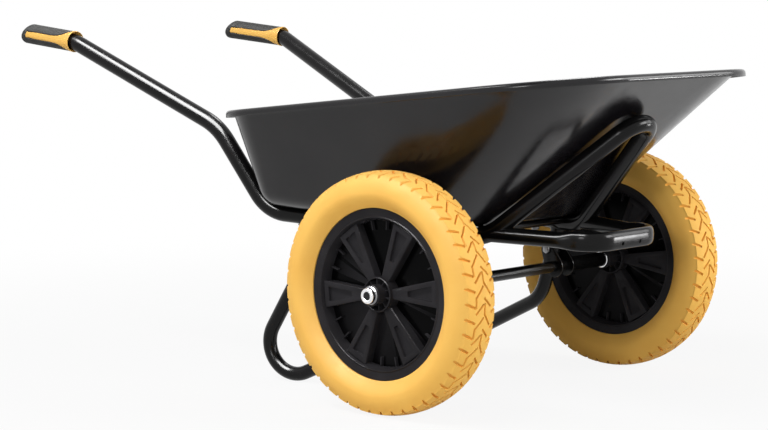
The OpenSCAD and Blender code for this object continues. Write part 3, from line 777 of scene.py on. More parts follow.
@dataclass
class Chassis:
    """Bent frame tube with its hoop, the rod across its rails, and the legs.

    The riser and the handle are each given by slope, rise and angle in plan.
    """

    tube_d: float = 30.0
    leg_d: float = 25.0
    spread: float = 284.8
    splay: float = math.radians(9.4)
    rail_h: float = 299.0
    rail_back: float = 382.0
    rail_front: float = 52.7
    rail_fall: float = math.tan(math.radians(2.8))
    riser: Triple = (math.radians(56.0), 147.0, math.radians(14.0))
    handle: Triple = (math.radians(24.2), 147.0, math.radians(8.5))
    grip_rise: float = math.radians(5.5)
    grip_splay: float = math.radians(-3.0)
    grip_run: float = 138.0
    grip_stop: float = 18.0
    hoop_corner: Pair = (335.0, 526.5)
    rod_x: float = 20.0
    rod_z: float = 285.0
    rod_r: float = 6.5
    rod_steps: int = 32
    leg_segments: int = 36
    radii: tuple[float, ...] = (0.0, 80.0, 110.0, 75.0, 75.0)
    hoop_r: float = 42.0

    def side(self, x: float, z: float) -> Vector:
        """Point of the left side at a place along the barrow and a height."""
        return Vector((x, self.spread / 2 - x * math.tan(self.splay), z))

    def sag(self, x: float) -> float:
        """How far the rail has come down at a place along the barrow."""
        return (x + self.rail_back) * self.rail_fall

    def on_rail(self, x: float) -> Vector:
        """Point of the left rail's middle line."""
        return self.side(x, self.rail_h - self.sag(x))

    def side_points(self) -> list[Vector]:
        """Lists the left side's corners, from the grip's end to the front bend."""
        rail_end = self.on_rail(-self.rail_back)
        riser_top = rail_end + self.climb(self.riser)
        handle_top = riser_top + self.climb(self.handle)
        level = math.cos(self.grip_rise)
        way = Vector((-level * math.cos(self.grip_splay), level * math.sin(self.grip_splay),
                      math.sin(self.grip_rise)))
        return [handle_top + way * self.grip_run, handle_top, riser_top, rail_end,
                self.on_rail(self.rail_front)]

    def climb(self, run: Triple) -> Vector:
        """Step of a stretch that climbs to the back, from its slope, its rise and its angle in plan."""
        slope, rise, splay = run
        back = rise / math.tan(slope)
        return Vector((-back, back * math.tan(splay), rise))

    def build_tube(self) -> None:
        """Makes the frame tube in one run, from grip to grip over the hoop, with the rod on its rails."""
        left = self.side_points()
        left[0] += (left[1] - left[0]).normalized() * self.grip_stop
        middle = Vector((self.hoop_corner[0], 0.0, self.hoop_corner[1]))
        right = [Side.RIGHT.mirror @ p for p in reversed(left)]
        radii = [*self.radii, self.hoop_r, *reversed(self.radii)]
        piece = Piece("frame_tube", Body.FRAME, "frame_black", ("right_frame_tube", "left_frame_tube"))
        piece.add(Sweep([*left, middle, *right], radii, self.tube_d).build())
        reach = self.side(self.rod_x, 0.0).y
        across = Matrix.Translation((self.rod_x, 0.0, self.rod_z)) @ ALONG_Y
        piece.add(bar(0.0, self.rod_r, (-reach, reach), steps=self.rod_steps), across).finish()

    def leg_points(self) -> list[Vector]:
        """Lists the left leg's corners, from the rail behind to the rail in front."""
        return [self.side(*p) for p in LegLine().corners(self)]

    def build_legs(self) -> None:
        """Makes the two legs."""
        for side in Side:
            radii = [0.0, LegLine.foot_r, LegLine.bend_r, 0.0]
            sweep = Sweep(self.leg_points(), radii, self.leg_d, self.leg_segments)
            piece = Piece(side.word + "_leg_tube", Body.FRAME, "frame_black", (side.word + "_leg",))
            piece.add(sweep.build(), side.mirror).finish()


class Limb(int, Enum):
    """Limbs of a leg, from the back."""

    REAR = 0
    LOW = 1
    FRONT = 2


@dataclass
class LegLine:
    """Corners of a leg in the side view, from the slopes of its rear, lower and front limb in degrees."""

    wheel_r: float = 200.0
    leg_r: float = 12.5
    axle_r: float = 10.0
    gap: float = 1.0
    foot_back: float = 326.0
    foot_r: float = 54.0
    bend_r: float = 70.0
    raise_by: float = 0.81
    slopes: Triple = (60.0, 25.0, 72.0)

    def way(self, limb: Limb) -> Vector:
        """Direction of a limb in the side view."""
        slope = math.radians(self.slopes[limb])
        return Vector((math.cos(slope), math.sin(slope)))

    def front_point(self) -> Vector:
        """Point of the front limb at the height of the axle."""
        return Vector((-(self.leg_r + self.axle_r + self.gap) / self.way(Limb.FRONT).y, self.wheel_r))

    def corners(self, chassis: Chassis) -> list[Pair]:
        """Finds the corners of the leg.

        Args:
            chassis: The frame whose rails it hangs from.

        Returns:
            The four corners as places along the barrow and heights.
        """
        rear, low, front = (self.way(limb) for limb in Limb)
        centre = Vector((-self.foot_back, self.leg_r + self.foot_r + self.raise_by))
        on_rear = centre + self.foot_r * Vector((-rear.y, rear.x))
        on_low = centre + self.foot_r * Vector((low.y, -low.x))
        on_front = self.front_point()
        rail = Vector((-chassis.rail_back, chassis.rail_h))
        fall = Vector((1.0, -chassis.rail_fall))
        return [tuple(crossing(on_rear, rear, rail, fall)), tuple(crossing(on_rear, rear, on_low, low)),
                tuple(crossing(on_low, low, on_front, front)), tuple(crossing(on_front, front, rail, fall))]


def crossing(p: Vector, u: Vector, q: Vector, v: Vector) -> Vector:
    """Finds where two lines in a plane cross.

    Args:
        p: Point of the first line.
        u: Direction of the first line.
        q: Point of the second line.
        v: Direction of the second line.

    Returns:
        The crossing.
    """
    d = q - p
    return p + u * ((d.x * v.y - d.y * v.x) / (u.x * v.y - u.y * v.x))


@dataclass
class TipBar:
    """U-shaped bar ahead of the rails: round at the roots, flattened round the front, with two holes."""

    d: float = 27.0
    flat_h: float = 32.0
    flat_w: float = 18.24
    front: float = 245.0
    width: float = 170.0
    z: float = 279.0
    root_x: float = 40.0
    root_z: float = 285.0
    fullness: float = 0.74
    bend_r: float = 48.0
    taper: float = 34.0
    hole_gap: float = 49.0
    hole_drop: float = 5.0
    hole_d: float = 6.5
    hole_segments: int = 32
    front_heading: float = 0.2
    segments: int = 80
    bend_step: float = 3.0
    run_step: float = 4.0

    def flatten(self, ring: Ring, share: float) -> None:
        """Presses a ring flat.

        Args:
            ring: Ring to press.
            share: How far it is pressed, from 0 to 1.
        """
        across = UP.cross(ring.heading).normalized()
        r = self.d / 2
        for v in ring.verts:
            off = v.co - ring.middle
            a = off.dot(across) / r
            b = off.z / r
            wide = math.copysign(abs(a) ** self.fullness, a) * self.flat_w / 2
            tall = math.copysign(abs(b) ** self.fullness, b) * self.flat_h / 2
            flat = across * wide + Vector((0, 0, tall))
            v.co = ring.middle + off.lerp(flat, share)

    def build(self, chassis: Chassis) -> None:
        """Makes the bar.

        Args:
            chassis: The frame that carries it.
        """
        root = chassis.side(self.root_x, self.root_z)
        corner = Vector((self.front, self.width / 2, self.z))
        points = [root, corner, Side.RIGHT.mirror @ corner, Side.RIGHT.mirror @ root]
        radii = [0.0, self.bend_r, self.bend_r, 0.0]
        sweep = Sweep(points, radii, self.d, self.segments, self.bend_step, self.run_step)
        bm = sweep.build()
        limb = (corner - root).normalized()
        for ring in sweep.rings:
            spot = Vector((ring.middle.x, abs(ring.middle.y), ring.middle.z))
            run = (corner - spot).dot(limb) if abs(ring.heading.x) > self.front_heading else 0.0
            self.flatten(ring, eased(1.0 - (run - sweep.setback(1)) / self.taper))
        piece = Piece("tip_bar_tube", Body.FRAME, "frame_black", ("tip_bar",)).add(bm)
        for s in (-1, 1):
            middle = (self.front, s * self.hole_gap / 2, self.z - self.hole_drop)
            place = Matrix.Translation(middle) @ Matrix.Rotation(math.pi / 2, 4, "Y")
            piece.cut(pin(self.hole_d / 2, 3 * self.flat_w, self.hole_segments, place))
        piece.finish()


@dataclass
class Tray:
    """Pressed pan: a flat floor, walls that spread to a sloping rim, and a turned-down lip.

    The floor and the rim are each given by their reach to the back, to the front and to each side.
    """

    floor_z: float = 314.4
    floor: Triple = (384.0, 71.7, 246.0)
    floor_radii: Pair = (50.0, 150.0)
    rear_spread: float = 12.0
    spread_reach: Pair = (200.0, 330.0)
    fillet: float = 40.0
    rim: Triple = (420.0, 336.0, 310.0)
    rim_radii: Pair = (90.0, 168.0)
    rim_h: float = 522.0
    rim_slope: float = math.radians(6.0)
    sheet: float = 1.6
    lip_r: float = 6.5
    lip_w: float = 13.0
    lip_drop: float = 12.0
    lip_start: float = 1.2
    wall_end: float = 2.5
    corner_steps: int = 20
    edge_steps: int = 10
    fillet_steps: int = 8
    wall_steps: int = 10
    lip_steps: int = 6
    smooth_deg: float = 50.0

    def outline(self, box: Triple, radii: Pair) -> list[tuple[Vector, Vector]]:
        """Lists points of a rounded outline with the outward direction at each.

        Args:
            box: Reach to the back, to the front and to each side.
            radii: Corner radius at the back and at the nose.

        Returns:
            The points and directions, once round.
        """
        back, front, half = box
        rear_r, nose_r = radii
        rear_x = rear_r - back
        nose_x = front - nose_r
        corners = [(nose_x, half - nose_r, nose_r), (rear_x, half - rear_r, rear_r),
                   (rear_x, rear_r - half, rear_r), (nose_x, nose_r - half, nose_r)]
        marks: list[tuple[Vector, Vector]] = []
        for i, (x, y, r) in enumerate(corners):
            for k in range(self.corner_steps + 1):
                angle = math.pi / 2 * (i + k / self.corner_steps)
                way = Vector((math.cos(angle), math.sin(angle), 0.0))
                marks.append((Vector((x, y, 0.0)) + way * r, way))
            next_x, next_y, next_r = corners[(i + 1) % len(corners)]
            begin, way = marks[-1]
            end = Vector((next_x, next_y, 0.0)) + way * next_r
            for k in range(1, self.edge_steps):
                marks.append((begin.lerp(end, k / self.edge_steps), way))
        return marks

    def on_rim(self, mark: tuple[Vector, Vector], out: float, up: float) -> Vector:
        """Point on the sloping rim.

        Args:
            mark: Point of the rim's outline and its outward direction.
            out: Distance outwards.
            up: Distance up from the rim's plane.

        Returns:
            The point.
        """
        flat = mark[0] + mark[1] * out + UP * up
        return Matrix.Translation(UP * self.rim_h) @ Matrix.Rotation(-self.rim_slope, 4, "Y") @ flat

    def widened(self, mark: tuple[Vector, Vector]) -> tuple[Vector, Vector]:
        """Moves a mark of the floor's outline aside, where the floor spreads behind the wheels.

        Args:
            mark: Point of the outline and its outward direction.

        Returns:
            The moved mark.
        """
        near, far = self.spread_reach
        share = eased((-mark[0].x - near) / (far - near))
        aside = mark[0].y / self.floor[2] * self.rear_spread * share
        return (mark[0] + Vector((0.0, aside, 0.0)), mark[1])

    def section(self, low: tuple[Vector, Vector], high: tuple[Vector, Vector],
                chassis: Chassis) -> list[Vector]:
        """Lists the points of one cut through the wall, from the floor to the end of the lip.

        Args:
            low: Mark on the floor's outline.
            high: Mark on the rim's outline.
            chassis: The frame whose rails the floor follows.

        Returns:
            The points.
        """
        way = low[1]
        centre = low[0] - way * self.fillet
        centre.z = self.floor_z + self.fillet - chassis.sag(centre.x)
        top = self.on_rim(high, 0.0, -self.wall_end)
        out = (top - centre).dot(way)
        up = (top - centre).z
        lean = math.atan2(up, out) - math.acos(min(1.0, self.fillet / math.hypot(out, up)))
        points = []
        for k in range(self.fillet_steps + 1):
            angle = -math.pi / 2 + (lean + math.pi / 2) * k / self.fillet_steps
            points.append(centre + (way * math.cos(angle) + UP * math.sin(angle)) * self.fillet)
        start = points[-1]
        points += [start.lerp(top, k / self.wall_steps) for k in range(1, self.wall_steps + 1)]
        return points + [self.on_rim(high, *spot) for spot in self.lip()]

    def lip(self) -> list[Pair]:
        """Lists the profile of the lip's underside, from the top of the wall outwards and down."""
        r = self.lip_r - self.sheet
        edge = self.lip_w - self.sheet
        turn = arc((edge - r, -self.sheet - r), r, 90.0, 0.0, self.lip_steps)
        return [(self.lip_start, -self.sheet), *turn, (edge, -self.lip_drop)]

    @staticmethod
    def raised(bm: BMesh, ring: list[BMVert], edges: list[BMEdge]) -> tuple[list[BMVert], list[BMEdge]]:
        """Extrudes the last ring of the wall.

        Args:
            bm: The pan so far.
            ring: Vertices of the ring, once round.
            edges: Edges of the ring.

        Returns:
            The vertices of the new ring, in the same order, and its edges.
        """
        order = {v: i for i, v in enumerate(ring)}
        grown = bmesh.ops.extrude_edge_only(bm, edges=edges)["geom"]
        fresh = [v for v in grown if isinstance(v, BMVert)]
        ring_next = [fresh[0]] * len(ring)
        for v in fresh:
            under = next(e.other_vert(v) for e in v.link_edges if e.other_vert(v) in order)
            ring_next[order[under]] = v
        return ring_next, [e for e in grown if isinstance(e, BMEdge)]

    def build(self, chassis: Chassis) -> None:
        """Makes the pan from a ring that grows up the walls, and gives it its thickness.

        Args:
            chassis: The frame that carries it.
        """
        lows = [self.widened(mark) for mark in self.outline(self.floor, self.floor_radii)]
        highs = self.outline(self.rim, self.rim_radii)
        sections = [self.section(low, high, chassis) for low, high in zip(lows, highs)]
        bm = bmesh.new()
        bmesh.ops.create_circle(bm, cap_ends=True, radius=self.fillet, segments=len(sections))
        bm.verts.ensure_lookup_table()
        ring = list(bm.verts)
        edges = list(bm.edges)
        for vert, points in zip(ring, sections):
            vert.co = points[0]
        for level in range(1, len(sections[0])):
            ring, edges = self.raised(bm, ring, edges)
            for vert, points in zip(ring, sections):
                vert.co = points[level]
        bmesh.ops.recalc_face_normals(bm, faces=bm.faces)
        if max(bm.faces, key=lambda f: f.calc_area()).normal.z > 0:
            bmesh.ops.reverse_faces(bm, faces=bm.faces)
        obj = Piece("tray_pan", Body.FRAME, "tray_black", ("tray",), self.smooth_deg).add(bm).finish()
        wall = obj.modifiers.new("sheet", "SOLIDIFY")
        wall.thickness = self.sheet * MM
        wall.offset = -1.0


@dataclass
class Wheel:
    """Solid tyre on a moulded spoked centre, with the bushes in its hub.

    Grooves and notches run between points given as shares of the half width and of the tread's repeat.
    Points of the flange and of the channel under the tyre are given as distances inside the rim's radius and
    inside its face. A rib is given by length, thickness and width, and a bush by two radii and its length.
    """

    tyre_r: float = 200.0
    tyre_w: float = 97.0
    track: float = 323.5
    rim_r: float = 141.0
    rim_w: float = 56.0
    seat_gap: float = 0.05
    tread_w: float = 67.0
    tread_drop: float = 5.5
    tread_inset: float = 0.6
    section_steps: int = 16
    tyre_steps: int = 200
    belly: Pair = (166.0, 43.0)
    bead_z: float = 27.5
    low_power: float = 1.8
    side_power: float = 2.0
    step: float = 1.8
    repeats: int = 25
    groove_depth: float = 4.0
    knife_h: float = 12.0
    groove_widths: Pair = (2.2, 4.2)
    notch_flare: float = 1.25
    notch_drop: float = 1.0
    # Share of painted shade over the whole tread
    tread_painted_shade: float = 0.25
    mark_gap: float = 0.1
    spokes: int = 6
    spoke_t: float = 43.0
    spoke_halves: Pair = (8.5, 26.0)
    spoke_sink: float = 1.5
    spoke_end: float = 121.0
    spoke_edge: float = 1.8
    pocket_ends: Pair = (60.0, 111.0)
    pocket_wall: float = 9.0
    pocket_depth: float = 5.5
    pocket_least: float = 2.2
    pocket_corner: float = 1.9
    petal_edge: float = 0.7
    petal_angle: float = 0.9
    right_turn: float = math.radians(5.0)
    rim_steps: int = 128
    flange_z: float = 26.0
    flange: tuple[Pair, ...] = (
        (0.3, 0.6), (1.0, 0.0), (13.6, 1.2), (14.2, 0.6), (15.0, 0.0), (16.2, 0.0), (17.0, 0.8), (17.6, 4.0),
        (21.0, 9.0))
    channel: tuple[Pair, ...] = ((0.3, 3.0), (0.3, 6.0), (10.0, 6.0))
    web_t: float = 10.0
    web_r: float = 123.0
    web_steps: int = 96
    hub_r: float = 17.0
    hub_bore: float = 10.6
    hub_edge: float = 1.0
    hub_ends: Pair = (-50.0, 42.0)
    ring_r: float = 29.0
    ring_t: float = 3.0
    ring_edge: float = 0.8
    fins: int = 10
    fin_t: float = 1.8
    fin_sink: float = 1.0
    fin_short: float = 5.0
    fin_edge: float = 0.5
    rib: Triple = (17.0, 2.6, 22.0)
    rib_r: float = 113.0
    rib_turn: float = math.radians(8.0)
    rib_edge: float = 0.6
    bush: Triple = (10.05, 12.9, 26.0)
    tyre_smooth: float = 40.0
    grooves: tuple[tuple[Pair, Pair], ...] = (
        ((0.03, 0.0), (0.35, 0.29)), ((0.01, 0.43), (0.36, 0.79)), ((0.36, 0.76), (0.36, 1.09)),
        ((-0.02, -0.19), (-0.34, 0.08)), ((-0.04, -0.02), (-0.04, 0.34)), ((-0.04, 0.32), (-0.34, 0.68)))
    notches: tuple[tuple[Pair, Pair], ...] = (
        ((0.72, -0.04), (0.38, 0.1)), ((0.72, 0.46), (0.38, 0.6)),
        ((-0.72, 0.16), (-0.38, 0.3)), ((-0.72, 0.66), (-0.38, 0.8)))

    def place(self, side: Side) -> Matrix:
        """Where the wheel goes: its own +Z points outboard along the axle."""
        return side.mirror @ Matrix.Translation((0.0, self.track, self.tyre_r)) @ ALONG_Y

    def tread_r(self, z: float) -> float:
        """Radius of the tread at a distance from the tyre's middle plane."""
        crown = ((self.tread_w / 2) ** 2 + self.tread_drop ** 2) / (2 * self.tread_drop)
        return self.tyre_r - crown + math.sqrt(crown ** 2 - z * z)

    def tyre_profile(self) -> list[Pair]:
        """Lists the tyre's section, from the rim's outboard edge over the tread to the inboard edge."""
        belly_r, belly_z = self.belly
        edge = self.tread_w / 2
        rise = self.tyre_r - self.tread_drop - self.step - belly_r
        shares = [k / self.section_steps for k in range(self.section_steps + 1)]
        top = []
        for share in shares[:-1]:
            r = self.rim_r + self.seat_gap + (belly_r - self.rim_r) * share
            top.append((r, belly_z - (belly_z - self.bead_z) * (1.0 - share) ** self.low_power))
        for share in shares:
            top.append((belly_r + rise * share, belly_z - (belly_z - edge) * share ** self.side_power))
        for share in shares:
            z = (edge - self.tread_inset) * (1.0 - share)
            top.append((self.tread_r(z), z))
        return top + flipped(top[:-1])

    def groove(self, begin: Pair, end: Pair, flare: float, drop: float) -> tuple[BMesh, float]:
        """Makes the knife for one groove, with sloping sides.

        Args:
            begin: Where it starts, as a share of the half width and of the repeat.
            end: Where it ends.
            flare: How much wider it is where it starts.
            drop: How much deeper it is there.

        Returns:
            The knife at the groove's middle, and its angle round the tyre.
        """
        pitch = math.tau / self.repeats
        half_w = self.tyre_w / 2
        run = (end[0] - begin[0]) * half_w
        rise = (end[1] - begin[1]) * self.tyre_r * pitch
        length = math.hypot(run, rise)
        narrow, wide = self.groove_widths
        bm = block((self.knife_h, 1.0, length + narrow), (self.knife_h / 2, 0.0, 0.0))
        for v in bm.verts:
            starts = v.co.z < 0
            above = v.co.x > 0
            width = narrow + (wide - narrow) * v.co.x / self.groove_depth
            v.co.y *= width * (flare if starts else 1.0)
            if starts and not above:
                v.co.x -= drop
        begin_r = self.tread_r(begin[0] * half_w)
        end_r = self.tread_r(end[0] * half_w)
        tilt = Matrix.Rotation(math.atan2(end_r - begin_r, length), 4, "Y")
        lean = Matrix.Rotation(-math.atan2(rise, run), 4, "X")
        depth = (begin_r + end_r) / 2 - self.groove_depth
        spot = Matrix.Translation((depth, 0.0, (begin[0] + end[0]) / 2 * half_w))
        bmesh.ops.transform(bm, matrix=spot @ lean @ tilt, verts=bm.verts)
        return bm, (begin[1] + end[1]) / 2 * pitch

    def build_tyre(self) -> BMesh:
        """Makes one tyre with its tread and returns its mesh."""
        tyre = Piece("tyre", Body.FRAME, "tyre_yellow")
        tyre.add(turned(self.tyre_profile(), self.tyre_steps))
        knives = Piece("knives", Body.FRAME, "tyre_yellow")
        cuts = [(line, 1.0, 0.0) for line in self.grooves]
        cuts += [(line, self.notch_flare, self.notch_drop) for line in self.notches]
        for (begin, end), flare, drop in cuts:
            for i in range(self.repeats):
                knife, angle = self.groove(begin, end, flare, drop)
                knives.add(knife, Matrix.Rotation(angle + i * math.tau / self.repeats, 4, "Z"))
        tyre.cut(knives.bm, own=True)
        return tyre.bm

    def rim(self) -> BMesh:
        """Makes the rim: a drum with a flange on each side, whose inner edge stands up as a thin lip."""
        flange, channel = ([(self.rim_r - inside, self.flange_z - sunk) for inside, sunk in points]
                           for points in (self.flange, self.channel))
        groove = [(r, -z) for r, z in channel]
        return turned(flange + flipped(flange) + groove + flipped(groove), self.rim_steps)

    def spoke_half(self, radius: float) -> float:
        """Half the width of a spoke at a radius."""
        root, tip = self.spoke_halves
        return root + (tip - root) * (radius - self.ring_r) / (self.rim_r - self.ring_r)

    def petal(self, ends: Pair, wall: float, levels: Pair) -> BMesh:
        """Makes a slab along +X that widens like a spoke.

        Args:
            ends: Radii where it starts and ends.
            wall: How far its sides lie inside those of the spoke.
            levels: Its lower and upper level.

        Returns:
            The slab.
        """
        inner, outer = ends
        root = max(self.spoke_half(inner) - wall, self.pocket_least)
        tip = self.spoke_half(outer) - wall
        return slab([(inner, -root), (outer, -tip), (outer, tip), (inner, root)], *levels)

    def spoke(self) -> BMesh:
        """Makes one spoke, with its edges rounded."""
        half = self.spoke_t / 2
        return rounded(self.petal((self.ring_r - self.spoke_sink, self.spoke_end), 0.0, (-half, half)),
                       self.spoke_edge, 3)

    def pocket(self) -> BMesh:
        """Makes the knife for the pocket in a spoke's outer face."""
        half = self.spoke_t / 2
        depth = self.pocket_depth
        knife = self.petal(self.pocket_ends, self.pocket_wall, (half - depth, half + depth))
        upright = [e for e in knife.edges if abs(e.verts[0].co.z - e.verts[1].co.z) > depth]
        return bevelled(knife, upright, self.pocket_corner, 4)

    def centre(self) -> list[BMesh]:
        """Makes the moulded centre, apart from its spokes, as a list of shapes."""
        web = self.web_t / 2
        lip = self.rim_w / 2
        ring = self.ring_r
        hub = self.hub_r
        inner = ring - self.ring_t
        edge = self.ring_edge
        low = [(inner, edge - lip), (inner + edge, -lip), (ring - edge, -lip), (ring, edge - lip)]
        shapes = [self.rim(), bar(hub, self.web_r, (-web, web), steps=self.web_steps),
                  bar(self.hub_bore, hub, self.hub_ends, self.hub_edge),
                  turned(low + flipped(low), self.web_steps)]
        fin_size = (ring - hub + self.fin_sink, self.fin_t, self.rim_w - self.fin_short)
        fin_spot = ((ring + hub) / 2 - self.fin_sink, 0.0, 0.0)
        for i in range(self.fins):
            fin = rounded(block(fin_size, fin_spot), self.fin_edge)
            shapes.append(spun(fin, (i + 0.5) * math.tau / self.fins))
        for i in range(self.spokes):
            for s in (-1, 1):
                rib = rounded(block(self.rib, (self.rib_r, 0.0, 0.0)), self.rib_edge)
                shapes.append(spun(rib, (i + 0.5) * math.tau / self.spokes + s * self.rib_turn))
        return shapes

    def petals(self) -> BMesh:
        """Makes all the spokes with their pockets cut."""
        one = Piece("petal", Body.FRAME, "wheel_black").add(self.spoke())
        for turn in (Matrix.Identity(4), Matrix.Rotation(math.pi, 4, "X")):
            knife = self.pocket()
            bmesh.ops.transform(knife, matrix=turn, verts=knife.verts)
            one.cut(knife)
        rounded(one.bm, self.petal_edge, least=self.petal_angle)
        petals = Piece("petals", Body.FRAME, "wheel_black")
        for i in range(self.spokes):
            petals.add(one.bm.copy(), Matrix.Rotation(i * math.tau / self.spokes, 4, "Z"))
        return petals.bm

    def panel_painted_shade(self, r: float, z: float) -> float:
        """Mark of painted shade at a point of the wheel centre: 1 on the closed panels, deep between the spokes.
        """
        web = abs(z) < self.web_t / 2 + self.mark_gap and self.hub_r < r
        drum = self.ring_r < r < self.web_r and abs(z) < self.web_t
        return 1.0 if web or drum else 0.0

    def groove_painted_shade(self, r: float, z: float) -> float:
        """Mark of painted shade at a point of the tyre: 1 at the bottom of the grooves, and a little all over the
        tread.
        """
        if abs(z) > self.tread_w / 2 or r < self.tyre_r - self.knife_h:
            return 0.0
        return 1.0 if r < self.tread_r(z) - 0.5 * self.groove_depth else self.tread_painted_shade

    def build(self) -> None:
        """Makes both wheels."""
        tyre = self.build_tyre()
        petals = self.petals()
        for side in Side:
            place = self.place(side)
            word = side.word
            foam = Piece(word + "_foam_tyre", side.body, "tyre_yellow", (word + "_tyre",), self.tyre_smooth)
            mark_painted_dark(foam.add(tyre.copy(), place).finish(), place, self.groove_painted_shade)
            piece = Piece(word + "_spoked_centre", side.body, "wheel_black", (word + "_wheel_centre",))
            turned_place = place @ Matrix.Rotation(-self.right_turn if side is Side.RIGHT else 0.0, 4, "Z")
            for shape in self.centre():
                piece.add(shape, turned_place)
            mark_painted_dark(piece.add(petals.copy(), turned_place).finish(), place, self.panel_painted_shade)
            bushes = Piece(word + "_plain_bushes", side.body, "bush_grey", (word + "_hub_bushes",))
            bore, outer, length = self.bush
            low, high = self.hub_ends
            for start in (low, high - length):
                bushes.add(bar(bore, outer, (start, start + length)), place)
            bushes.finish()


@dataclass(frozen=True)
class Fastener:
    """Bolts, nuts and washers of one thread."""

    d: float = 8.0
    shank_steps: int = 32
    sides: int = 6
    flats: float = 13.0
    head_h: float = 4.4
    nut_h: float = 6.4
    bore_gap: float = 0.1
    corner_edge: float = 0.78
    corner_angle: float = 0.6
    tip_edge: float = 0.8
    dome_r: float = 8.8
    dome_steps: int = 48
    crown_steps: int = 10
    washer_radii: Pair = (4.5, 8.4)
    washer_t: float = 1.6
    washer_edge: float = 0.3

    def hexagon(self, height: float) -> BMesh:
        """Makes a hexagon with rounded corners, from zero up.

        Args:
            height: Its height.

        Returns:
            The hexagon.
        """
        corner = self.flats / 2 / math.cos(math.pi / self.sides)
        prism = pin(corner, height, self.sides, Matrix.Translation(UP * height / 2))
        return rounded(prism, self.corner_edge, least=self.corner_angle)

    def bolt(self, length: float) -> BMesh:
        """Makes a hexagon bolt along +Z, its head below zero.

        Args:
            length: Length of its shank.

        Returns:
            The bolt.
        """
        r = self.d / 2
        edge = self.tip_edge
        shank = [(0.0, 0.0), (r, 0.0), (r, length - edge), (r - edge, length), (0.0, length)]
        bolt = Piece("bolt", Body.FRAME, "zinc")
        bolt.add(self.hexagon(self.head_h), Matrix.Rotation(math.pi, 4, "X"))
        return bolt.add(turned(shank, self.shank_steps, closed=False)).bm

    def nut(self) -> BMesh:
        """Makes a hexagon nut from zero up."""
        hole = pin(self.d / 2 + self.bore_gap, 4 * self.nut_h, self.shank_steps)
        return Piece("nut", Body.FRAME, "zinc", bm=self.hexagon(self.nut_h)).cut(hole).bm

    def washer(self) -> BMesh:
        """Makes a washer from zero up."""
        return bar(*self.washer_radii, (0.0, self.washer_t), self.washer_edge)

    def dome_bolt(self, tail: float) -> BMesh:
        """Makes a domed bolt whose head stands on zero.

        Args:
            tail: Length of its shank below zero.

        Returns:
            The bolt.
        """
        r = self.d / 2
        angles = [math.pi / 2 * k / self.crown_steps for k in range(self.crown_steps + 1)]
        crown = [(self.dome_r * math.sin(a), self.head_h * math.cos(a)) for a in angles]
        shank = [(r, 0.0), (r, self.tip_edge - tail), (r - self.tip_edge, -tail), (0.0, -tail)]
        return turned(crown + shank, self.dome_steps, closed=False)


